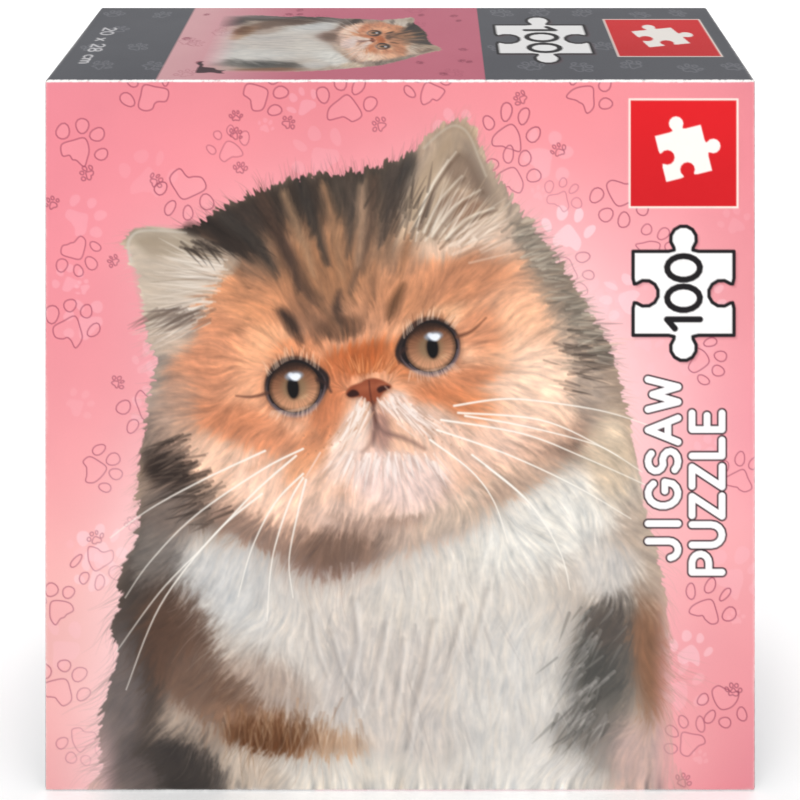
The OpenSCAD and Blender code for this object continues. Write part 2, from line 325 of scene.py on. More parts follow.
# soft patches of the coat: x, y, half width, half height, turn, colour, strength, hardness
COAT = [
    (400, 660, 210, 195, 0, rgb(212, 206, 198), 1, 7), (546, 520, 96, 44, -22, rgb(229, 226, 218), 1, 7),
    (236, 585, 80, 42, 25, rgb(206, 205, 202), 1, 7), (330, 600, 60, 46, 0, rgb(218, 209, 199), .8, 6),
    (407, 690, 88, 100, 0, rgb(208, 199, 191), .9, 6), (518, 710, 64, 92, 0, rgb(216, 213, 207), .9, 6),
    (546, 768, 76, 34, 0, rgb(230, 226, 219), .9, 6), (361, 778, 80, 26, 0, rgb(224, 218, 208), .9, 6),
    (345, 668, 20, 46, 0, rgb(184, 178, 175), .5, 6), (430, 600, 60, 30, 0, rgb(226, 219, 208), .6, 6),
    (143, 636, 34, 128, 5, rgb(66, 57, 52), 1, 8), (206, 748, 34, 20, 30, rgb(112, 98, 88), .6, 6), (122, 715, 24, 86, 0, rgb(114, 104, 101), .9, 7),
    (160, 548, 26, 34, 20, rgb(128, 120, 114), .8, 7),
    (180, 640, 36, 56, -14, rgb(88, 64, 51), .95, 8), (214, 686, 50, 32, 34, rgb(112, 88, 74), .95, 8),
    (268, 684, 48, 28, 25, rgb(174, 153, 139), .8, 7), (272, 730, 42, 19, 5, rgb(96, 58, 34), 1, 7),
    (326, 738, 40, 15, 6, rgb(196, 160, 130), .9, 7), (250, 712, 44, 12, 8, rgb(164, 124, 98), .7, 7),
    (252, 768, 40, 16, 25, rgb(216, 198, 180), .8, 7), (180, 768, 50, 32, 28, rgb(60, 54, 51), 1, 8),
    (134, 778, 28, 26, 0, rgb(106, 95, 92), .8, 7), (606, 664, 33, 62, 8, rgb(80, 79, 75), 1, 6), (586, 722, 34, 22, -34, rgb(112, 108, 102), .75, 6), (626, 626, 22, 40, -14, rgb(98, 92, 86), .8, 6), (612, 742, 22, 30, 10, rgb(126, 120, 114), .7, 6),
    (608, 622, 24, 22, 0, rgb(86, 78, 72), .8, 8), (649, 648, 15, 70, -3, rgb(136, 98, 74), 1, 8),
    (640, 543, 22, 56, -12, rgb(180, 162, 146), .9, 7), (646, 756, 32, 40, 0, rgb(200, 172, 164), .9, 7),
    (606, 566, 30, 26, 0, rgb(214, 211, 206), .8, 7),
    (334, 548, 44, 26, -8, rgb(142, 114, 103), 1, 6), (300, 530, 76, 20, 12, rgb(150, 126, 113), .9, 6), (259, 526, 58, 16, 24, rgb(158, 131, 117), .95, 7),
    (405, 532, 72, 17, -14, rgb(186, 162, 147), .95, 6), (470, 506, 60, 13, -25, rgb(206, 186, 168), .8, 7),
    # face
    (380, 356, 208, 128, -16, rgb(233, 167, 129), 1, 10), (330, 470, 96, 58, -5, rgb(235, 184, 154), 1, 9),
    (450, 440, 96, 50, -24, rgb(238, 190, 160), .95, 8),
    (160, 384, 19, 70, 0, rgb(160, 142, 132), .95, 8), (172, 468, 27, 20, 34, rgb(66, 54, 48), .95, 6), (186, 500, 40, 13, 40, rgb(96, 80, 70), .8, 6), (152, 440, 16, 22, 20, rgb(104, 92, 84), .75, 6),
    (172, 508, 28, 24, 10, rgb(118, 104, 96), .9, 7),
    (567, 272, 34, 118, -33, rgb(156, 140, 126), 1, 9), (590, 362, 18, 30, 10, rgb(96, 84, 76), .95, 7),
    (565, 437, 33, 15, -35, rgb(90, 71, 61), 1, 8), (604, 402, 18, 30, -10, rgb(160, 140, 124), .9, 7),
    (607, 455, 24, 46, -8, rgb(214, 193, 168), .95, 7),
    (305, 208, 116, 30, -14, rgb(56, 46, 40), 1, 9), (368, 198, 42, 38, -12, rgb(74, 64, 56), 1, 8),
    (222, 240, 44, 15, 24, rgb(46, 38, 34), 1, 9), (246, 226, 40, 17, -8, rgb(60, 50, 45), .9, 8),
    (403, 190, 11, 38, 12, rgb(62, 56, 52), 1, 8),
    (320, 272, 70, 46, -10, rgb(158, 112, 80), .95, 7), (446, 282, 64, 38, -18, rgb(206, 144, 108), 1, 7),
    (238, 308, 54, 34, 10, rgb(222, 155, 114), .95, 7), (460, 402, 66, 15, 8, rgb(212, 130, 84), .9, 7),
    (528, 314, 44, 42, 0, rgb(242, 186, 150), .9, 7), (538, 392, 48, 50, 10, rgb(253, 214, 187), 1, 7),
    (500, 442, 52, 24, -20, rgb(249, 209, 186), .9, 7), (232, 424, 50, 24, 15, rgb(214, 143, 105), .9, 7),
    (226, 460, 50, 26, 20, rgb(246, 202, 174), .95, 7), (198, 384, 32, 34, 0, rgb(200, 138, 106), .9, 7),
    (284, 488, 50, 30, 10, rgb(248, 208, 184), .95, 7), (258, 346, 44, 17, -20, rgb(240, 176, 134), .9, 7),
    (300, 350, 26, 12, -14, rgb(214, 136, 92), .7, 7), (285, 436, 34, 14, 8, rgb(238, 178, 142), .7, 7),
    (360, 361, 42, 16, -14, rgb(186, 98, 52), 1, 7), (340, 330, 28, 12, -10, rgb(104, 74, 56), .95, 7),
    (404, 360, 20, 20, -10, rgb(206, 126, 80), .9, 7), (328, 408, 12, 20, 10, rgb(186, 112, 72), .8, 7),
    (314, 444, 15, 46, 34, rgb(224, 156, 114), .9, 7), (352, 438, 16, 46, 22, rgb(240, 212, 196), 1, 8),
    (436, 428, 52, 20, 36, rgb(234, 196, 174), 1, 8), (398, 404, 16, 12, 30, rgb(250, 232, 222), .9, 7),
    (380, 430, 9, 22, 0, rgb(160, 120, 110), .8, 6), (402, 480, 46, 30, 0, rgb(238, 210, 200), 1, 8),
    (352, 515, 42, 20, -4, rgb(226, 194, 177), .9, 7), (370, 470, 16, 26, 10, rgb(236, 206, 196), .7, 6),
    (520, 478, 52, 12, -28, rgb(190, 160, 140), .9, 7), (480, 356, 26, 10, 10, rgb(250, 206, 172), .7, 7),
    (440, 318, 44, 10, -20, rgb(248, 198, 158), .8, 7),
    # deeper and paler passages of the face
    (212, 352, 34, 40, 20, rgb(214, 142, 106), .75, 6), (252, 428, 56, 18, 18, rgb(206, 130, 92), .75, 6),
    (330, 392, 16, 30, 24, rgb(196, 116, 76), .8, 6), (326, 422, 14, 26, 30, rgb(204, 128, 90), .7, 6),
    (452, 384, 46, 12, -18, rgb(206, 126, 84), .75, 6), (478, 330, 20, 34, -10, rgb(216, 142, 104), .65, 6),
    (262, 300, 40, 24, 24, rgb(206, 140, 100), .7, 6), (400, 300, 34, 26, -14, rgb(196, 134, 96), .7, 6),
    (440, 262, 40, 22, -22, rgb(222, 152, 112), .7, 6), (500, 286, 36, 24, 20, rgb(226, 166, 132), .6, 6),
    (176, 420, 22, 44, 6, rgb(176, 146, 128), .7, 6), (150, 350, 18, 50, 0, rgb(158, 146, 134), .85, 8),
    (575, 330, 24, 44, -14, rgb(178, 160, 144), .8, 7), (586, 392, 18, 34, -6, rgb(168, 150, 136), .85, 7),
    (548, 440, 40, 16, -30, rgb(196, 158, 136), .6, 6), (392, 240, 30, 34, -14, rgb(122, 98, 80), .7, 6),
    (310, 316, 18, 26, -20, rgb(112, 80, 62), .55, 6), (258, 262, 24, 20, 20, rgb(92, 74, 62), .6, 6),
    # ears
    (160, 276, 34, 54, -4, rgb(210, 194, 177), 1, 9), (158, 238, 36, 9, 6, rgb(160, 146, 126), 1, 8),
    (172, 330, 24, 26, 0, rgb(190, 170, 153), .95, 8), (186, 262, 12, 34, -30, rgb(226, 212, 196), .8, 7),
    (449, 192, 33, 62, 25, rgb(200, 176, 152), 1, 9), (456, 148, 20, 20, 20, rgb(150, 129, 108), 1, 8),
    (479, 182, 8, 38, -20, rgb(128, 111, 97), 1, 8), (452, 240, 36, 19, -22, rgb(222, 190, 166), .95, 8), (456, 212, 14, 24, 22, rgb(176, 140, 116), .9, 7),
    (416, 204, 7, 42, 25, rgb(212, 186, 158), .9, 7), (446, 196, 8, 34, 28, rgb(158, 134, 112), .7, 6),
    (500, 236, 26, 24, -30, rgb(222, 196, 176), .8, 7),
    # accents
    (167, 466, 21, 15, 26, rgb(38, 28, 24), .95, 5), (336, 546, 46, 20, -4, rgb(116, 90, 76), .9, 6),
    (250, 526, 50, 12, 24, rgb(140, 114, 100), .7, 6), (594, 350, 18, 16, 4, rgb(104, 92, 83), .8, 6),
    (558, 292, 20, 46, -36, rgb(134, 120, 106), .85, 6), (530, 246, 12, 34, -38, rgb(140, 128, 114), .8, 6), (274, 731, 40, 15, 5, rgb(88, 50, 24), .95, 5),
    (468, 282, 40, 20, -18, rgb(188, 126, 92), .8, 6), (236, 690, 30, 14, 30, rgb(104, 74, 56), .6, 6), (220, 236, 40, 12, 20, rgb(42, 34, 30), .8, 8),
]

# tabby marks: points, half widths at the two ends, belly, colour, strength
MARKS = [
    ([(258, 188), (272, 222), (292, 262), (300, 292)], 5, 2, 3, DARK_BROWN, .9),
    ([(300, 182), (312, 222), (328, 266)], 6, 2, 2, CHARCOAL, .85),
    ([(280, 246), (300, 282), (316, 306)], 3, 2, 3, DARK_BROWN, .8),
    ([(348, 178), (351, 214), (348, 256)], 6, 2, 2, rgb(78, 66, 58), .85),
    ([(374, 182), (370, 222), (362, 262), (352, 292)], 5, 2, 2, rgb(92, 72, 60), .8),
    ([(392, 170), (388, 210), (380, 246)], 6, 2, 1, rgb(74, 64, 58), .85),
    ([(228, 220), (258, 246), (278, 276)], 7, 2, 2, CHARCOAL, .85),
    ([(205, 236), (232, 262), (250, 290)], 4, 1.5, 1, BROWN, .6),
    ([(284, 196), (300, 236), (314, 276)], 3, 1.5, 2, TAN, .8),
    ([(324, 190), (335, 232), (343, 280)], 3.5, 1.5, 2.5, rgb(160, 120, 90), .85),
    ([(362, 188), (361, 228), (357, 268)], 3, 1.5, 2, rgb(176, 142, 116), .8),
    ([(340, 296), (338, 316), (344, 332)], 2, 2, 3.5, DARK_BROWN, .9),
    ([(402, 288), (394, 304), (388, 322)], 2, 1.5, 3.5, rgb(96, 66, 46), .9),
    ([(282, 312), (292, 326), (302, 344)], 3, 1.5, 4, rgb(54, 40, 34), .95),
    ([(318, 296), (330, 318), (346, 338)], 2, 1.5, 2, BROWN, .7),
    ([(372, 268), (374, 292), (366, 318)], 2.5, 1.5, 2, BROWN, .6),
    ([(410, 230), (404, 258), (398, 280)], 2, 1, 2, rgb(170, 116, 80), .6),
    ([(300, 268), (312, 292), (322, 300)], 3, 1, 2, rgb(104, 76, 58), .7),
    ([(438, 322), (452, 300), (468, 286)], 2, 1, 2, rgb(204, 142, 104), .5),
    ([(250, 318), (238, 330), (220, 336)], 2, 1, 2, rgb(176, 122, 90), .6),
    ([(265, 300), (254, 296), (240, 300)], 2, 1, 2, rgb(170, 120, 90), .5),
    ([(300, 418), (316, 430), (322, 452)], 1, 1, 2, rgb(206, 142, 106), .6),
    ([(250, 468), (280, 452), (312, 438)], 2, 1, 3, rgb(196, 138, 106), .45),
    ([(330, 512), (362, 522), (420, 516)], 2, 2, 5, rgb(150, 122, 106), .5),
]


def lie_field(h, w, X, Y):
    """Unit directions of the fur over the sheet."""
    U = np.zeros((h, w), np.float32)
    V = np.zeros((h, w), np.float32)
    for x, y, dx, dy in LIE:
        n = math.hypot(dx, dy)
        g = 1.0 / (((X - x) ** 2 + (Y - y) ** 2) / 900.0 + 0.15) ** 1.6
        U += g * dx / n
        V += g * dy / n
    m = np.hypot(U, V) + 1e-6
    return U / m, V / m


def gather(a, i, j):
    h, w = a.shape[:2]
    return a[np.clip(np.rint(i).astype(np.int32), 0, h - 1), np.clip(np.rint(j).astype(np.int32), 0, w - 1)]


def streaks(noise, U, V, steps):
    """Noise smeared along the fur, by doubling the reach each step."""
    h, w = noise.shape
    I, J = np.mgrid[0:h, 0:w].astype(np.float32)
    out = noise.copy()
    du, dv = U.copy(), V.copy()
    for _ in range(steps):
        out = (out + gather(out, I + dv, J + du)) * 0.5
        nu, nv = du + gather(du, I + dv, J + du), dv + gather(dv, I + dv, J + du)
        du, dv = nu, nv
    out -= out.mean()
    return out / (out.std() + 1e-6), du, dv


def hairs(sheet, U, V, mask, base, count, length, seed, spread=0.16, lift=0.0, strength=0.9, where=None, thick=1):
    """Thin tapering hairs laid over the sheet, each along the fur from its root."""
    r = np.random.RandomState(seed)
    h, w = mask.shape
    i = r.rand(count * 2) * (h - 1)
    j = r.rand(count * 2) * (w - 1)
    keep = r.rand(count * 2) < gather(mask if where is None else where, i, j)
    i, j = i[keep][:count].astype(np.float32), j[keep][:count].astype(np.float32)
    n = len(i)
    if not n:
        return
    colour = gather(base, i, j) * np.clip(1 + lift + spread * r.randn(n), 0.35, 1.7)[:, None].astype(np.float32)
    ln = (length * (0.5 + r.rand(n))).astype(np.float32)
    bend = (0.22 * r.randn(n)).astype(np.float32)
    steps = int(length * 1.5)
    where_to, weights, colours = [], [], []
    for s in range(steps):
        u, v = gather(U, i, j), gather(V, i, j)
        a = bend * (0.4 + s / steps)
        u, v = u - v * a, v + u * a
        i, j = i + v, j + u
        live = s < ln
        if not live.any():
            break
        taper = np.clip(1.15 - s / ln, 0, 1) * np.clip(s / 3.0, 0.2, 1)
        for t in range(thick):
            ii = i + (t - (thick - 1) / 2) * u * 0.8
            jj = j - (t - (thick - 1) / 2) * v * 0.8
            i0, j0 = np.floor(ii).astype(np.int32), np.floor(jj).astype(np.int32)
            fi, fj = ii - i0, jj - j0
            ok = live & (i0 >= 0) & (j0 >= 0) & (i0 < h - 1) & (j0 < w - 1)
            for oi, oj, wt in ((0, 0, (1 - fi) * (1 - fj)), (0, 1, (1 - fi) * fj), (1, 0, fi * (1 - fj)), (1, 1, fi * fj)):
                where_to.append(((i0 + oi) * w + j0 + oj)[ok])
                weights.append((wt * taper)[ok])
                colours.append(colour[ok])
    where_to, weights, colours = np.concatenate(where_to), np.concatenate(weights), np.concatenate(colours)
    wgt = np.bincount(where_to, weights, h * w).astype(np.float32)
    acc = np.stack([np.bincount(where_to, weights * colours[:, ch], h * w) for ch in range(3)], 1).astype(np.float32)
    wgt = wgt.reshape(h, w)
    acc = acc.reshape(h, w, 3) / np.maximum(wgt, 1e-6)[..., None]
    cover = (1 - np.exp(-1.6 * wgt)) * strength
    sheet.a[:] = sheet.a * (1 - cover[..., None]) + acc * cover[..., None]


def smoothstep(a, lo, hi):
    t = np.clip((a - lo) / (hi - lo), 0, 1)
    return t * t * (3 - 2 * t)


def coat_colours(h, w, X, Y):
    """The coat's soft colour map, before the fur breaks it up."""
    a = np.zeros((h, w, 3), np.float32) + rgb(178, 154, 134)
    for x, y, rx, ry, ang, colour, strength, hard in COAT:
        c, s = math.cos(math.radians(ang)), math.sin(math.radians(ang))
        dx, dy = X - x, Y - y
        q = np.sqrt(((dx * c + dy * s) / rx) ** 2 + ((dy * c - dx * s) / ry) ** 2)
        g = strength / (1 + np.exp(np.clip((q - 1) * hard, -30, 30)))
        a += g[..., None] * (colour - a)
    return a


def paint_cat(front):
    """The sitting cat: coat, eyes, nose and whiskers, over what is on the sheet."""
    h, w = front.h, front.w
    hh, hw = h // 2, w // 2
    Y, X = np.mgrid[0:hh, 0:hw].astype(np.float32)
    X, Y = (X + 0.5) * 2 / front.k + front.x0, (Y + 0.5) * 2 / front.k + front.y0
    low = Sheet(front.x0, front.y0, front.x0 + w / front.k, front.y0 + h / front.k, front.k / 2)
    low.a = coat_colours(hh, hw, X, Y)
    for pts, w0, w1, belly, colour, strength in MARKS:
        low.stroke(curve(pts, 6), w0, w1, colour, strength, 3.5, belly)
    base = resize(low.a, h, w)
    small = lie_field(96, 96, *np.meshgrid(np.linspace(front.x0, front.x0 + w / front.k, 96),
                                           np.linspace(front.y0, front.y0 + h / front.k, 96)))
    U, V = resize(small[0], h, w), resize(small[1], h, w)
    wav = soft_noise(h, w, 46, 5) * 0.22
    U, V = U - V * wav, V + U * wav
    m = np.hypot(U, V)
    U, V = U / m, V / m

    mask_low = Sheet(front.x0, front.y0, front.x0 + w / front.k, front.y0 + h / front.k, front.k / 2)
    outline = curve(CAT, 4, True)
    mask_low.shape(outline, (1, 1, 1))
    mask = resize(blur(mask_low.a[..., 0], 2.2), h, w)

    r = np.random.RandomState(11)
    fine, du, dv = streaks(blur(r.randn(h, w).astype(np.float32), 1) * 2, U, V, 4)
    mid, mu, mv = streaks(blur(r.randn(h, w).astype(np.float32), 2.2) * 3, U, V, 5)
    wide, wu, wv = streaks(blur(r.randn(h, w).astype(np.float32), 5) * 5, U, V, 6)

    I, J = np.mgrid[0:h, 0:w].astype(np.float32)
    # each lock carries the colour from nearer its root, so patches end in points
    reach = np.clip(0.45 + 0.30 * mid + 0.22 * fine, 0, 1.3)
    body = resize(smoothstep(np.mgrid[0:96, 0:96][0] / 95.0, 0.55, 0.72).astype(np.float32), h, w)
    reach *= 0.62 + 0.55 * body
    i, j = I - mv * reach * 0.55, J - mu * reach * 0.55
    coat = gather(base, i, j)
    tone = 1 + (0.020 * fine + 0.042 * mid + 0.050 * wide) * (1 - 0.45 * body)
    coat = coat * tone[..., None]
    coat = coat * (1 + 0.006 * mid[..., None] * np.array((1, 0.2, -0.8), np.float32))
    edge = np.clip(0.45 + 0.26 * fine + 0.36 * mid, -0.2, 1.3)
    fur_mask = gather(mask, I - dv * edge * 0.8, J - du * edge * 0.8)
    fur_mask = smoothstep(fur_mask, 0.36, 0.66)
    # the far right and the foot of the body fade softly into the paper
    fx = (np.arange(w, dtype=np.float32) / front.k + front.x0)[None, :]
    fy = (np.arange(h, dtype=np.float32) / front.k + front.y0)[:, None]
    fade = 1 - 0.75 * smoothstep(fx, 648, 674) * smoothstep(fy, 540, 700)
    fade *= 1 - 0.6 * smoothstep(-fx, -124, -100) * smoothstep(fy, 700, 780)
    fur_mask = fur_mask * fade
    front.a[:] = front.a * (1 - fur_mask[..., None]) + coat * fur_mask[..., None]

    src = blur(base, 1.5)
    inner = smoothstep(mask, 0.35, 0.8)
    chest = inner * body
    head = inner * (1 - body)
    k = front.k
    for n in range(3):
        hairs(front, U, V, inner, src, 6500, 17 * k, 100 + n, 0.055, -0.015 + 0.015 * n, 0.34, head)
        hairs(front, U, V, inner, src, 3000, 34 * k, 120 + n, 0.030, -0.01 + 0.01 * n, 0.30, chest)
    hairs(front, U, V, inner, src, 2000, 15 * k, 140, 0.04, 0.12, 0.34, head)
    hairs(front, U, V, inner, src, 1500, 16 * k, 142, 0.04, -0.20, 0.34, head)
    hairs(front, U, V, inner, src, 420, 44 * k, 141, 0.03, 0.07, 0.30, chest, 2)
    hairs(front, U, V, inner, src, 300, 44 * k, 143, 0.03, -0.11, 0.26, chest, 2)
    rim = smoothstep(mask, 0.15, 0.5) * (1 - smoothstep(mask, 0.55, 0.95)) * (0.35 + 0.65 * smoothstep(fade, 0.5, 1))
    hairs(front, U, V, inner, src, 3200, 6.5 * k, 150, 0.12, 0.16, 0.55, rim)
    paint_face(front)
    return fur_mask


def lock(sheet, x, y, dx, dy, length, width, colour, alpha, r):
    """One brushed lock: a curved taper from its root."""
    n = math.hypot(dx, dy)
    dx, dy = dx / n, dy / n
    b = r.uniform(-0.22, 0.22) * length
    p = [(x, y), (x + dx * length * 0.5 - dy * b * 0.5, y + dy * length * 0.5 + dx * b * 0.5),
         (x + dx * length - dy * b, y + dy * length + dx * b)]
    sheet.stroke(curve(p, 4), width, 0.1, colour, alpha, 0.35, width * 0.3)


def paint_eye(s, cx, cy, rx, ry, tilt, gaze, inner):
    """One eye: dark lids, amber iris, upright pupil and window glint. inner is -1 or 1, towards the nose."""
    c, sn = math.cos(math.radians(tilt)), math.sin(math.radians(tilt))

    def at(px, py):
        return cx + px * c - py * sn, cy + px * sn + py * c

    def ring(k, up=1.0, lo=1.0, sharp=0.0, off=(0, 0)):
        out = []
        for t in np.linspace(0, 2 * math.pi, 40, endpoint=False):
            px, py = rx * k * math.cos(t), ry * k * math.sin(t) * (up if math.sin(t) < 0 else lo)
            px += sharp * inner * max(0, math.cos(t) * inner) ** 8 * rx
            out.append(at(px + off[0], py + off[1]))
        return np.array(out)

    s.shape(ring(1.30, 1.0, 1.0), rgb(176, 112, 78), 0.35, 5.0)
    s.shape(ring(1.16, 1.06, 1.0, 0.10), rgb(120, 84, 66), 0.50, 3.0)
    s.shape(ring(1.10, 1.06, 1.00, 0.24, (0, -0.8)), rgb(34, 26, 26), 0.95, 1.2)
    s.shape(ring(1.07, 0.92, 1.05, 0.10, (0, 1.0)), rgb(158, 136, 142), 0.55, 0.8)
    s.shape(ring(1.02, 1.03, 1.0, 0.12), rgb(26, 19, 20), 1.0, 0.7)
    # iris
    p = s.part(cx - rx * 1.3, cy - ry * 1.3, cx + rx * 1.3, cy + ry * 1.3)
    sl, X, Y = p
    dx, dy = X - cx, Y - cy
    ex, ey = dx * c + dy * sn, dy * c - dx * sn
    q = np.sqrt((ex / (rx * 0.945)) ** 2 + (ey / (ry * 0.945)) ** 2)
    th = np.arctan2(ey, ex)
    rays = 0.5 + 0.5 * np.sin(th * 34 + 2.2 * np.sin(th * 9)) * np.clip(q * 1.2, 0, 1)
    lo_light = smoothstep(ey / ry, -0.55, 0.75)
    col = rgb(128, 84, 60) + lo_light[..., None] * (rgb(204, 148, 112) - rgb(128, 84, 60))
    ringd = smoothstep(q, 0.80, 1.0)
    col = col * (1 - 0.42 * ringd[..., None]) * (0.94 + 0.12 * rays[..., None])
    mid = np.exp(-(np.maximum(q - 0.30, 0) / 0.22) ** 2)
    col = col + mid[..., None] * (rgb(128, 112, 84) - col) * 0.62
    s.lay(sl, np.clip((1 - q) * rx * 0.94 * s.k * 0.5 + 0.5, 0, 1), col)
    # shadow under the upper lid
    s.lay(sl, np.clip((1 - q) * rx * s.k * 0.4 + 0.5, 0, 1) * (1 - smoothstep(ey / ry, -0.86, -0.34)) * 0.66, rgb(26, 17, 16))
    gx, gy = gaze
    s.shape(oval(cx + gx, cy + gy, rx * 0.235, ry * 0.44, tilt * 0.4, 24), rgb(40, 26, 20), 0.65, 1.8)
    s.shape(oval(cx + gx, cy + gy, rx * 0.20, ry * 0.40, tilt * 0.4, 24), rgb(10, 7, 8), 1.0, 0.7)
    # glint: sky in the cornea, broken by lashes
    s.shape(oval(cx + gx + 1.0, cy + gy - ry * 0.46, rx * 0.34, ry * 0.17, -8, 20), rgb(150, 168, 190), 0.75, 1.5)
    s.shape(oval(cx + gx + 2.2, cy + gy - ry * 0.42, rx * 0.20, ry * 0.15, 12, 20, 0.15, 3), rgb(246, 250, 255), 0.97, 0.8)
    s.shape(oval(cx + gx - 2.6, cy + gy - ry * 0.50, rx * 0.10, ry * 0.09, 0, 12), rgb(235, 242, 252), 0.8, 0.6)
    s.shape(oval(cx + gx + rx * 0.42, cy + gy + ry * 0.34, rx * 0.16, ry * 0.06, -30, 14), rgb(236, 206, 160), 0.30, 1.2)
    # wet line on the lower lid
    arc = [at(rx * 1.0 * math.cos(t), ry * 1.0 * math.sin(t)) for t in np.linspace(0.35, 2.7, 14)]
    s.stroke(arc, 0.45, 0.45, rgb(188, 176, 190), 0.45, 0.4)


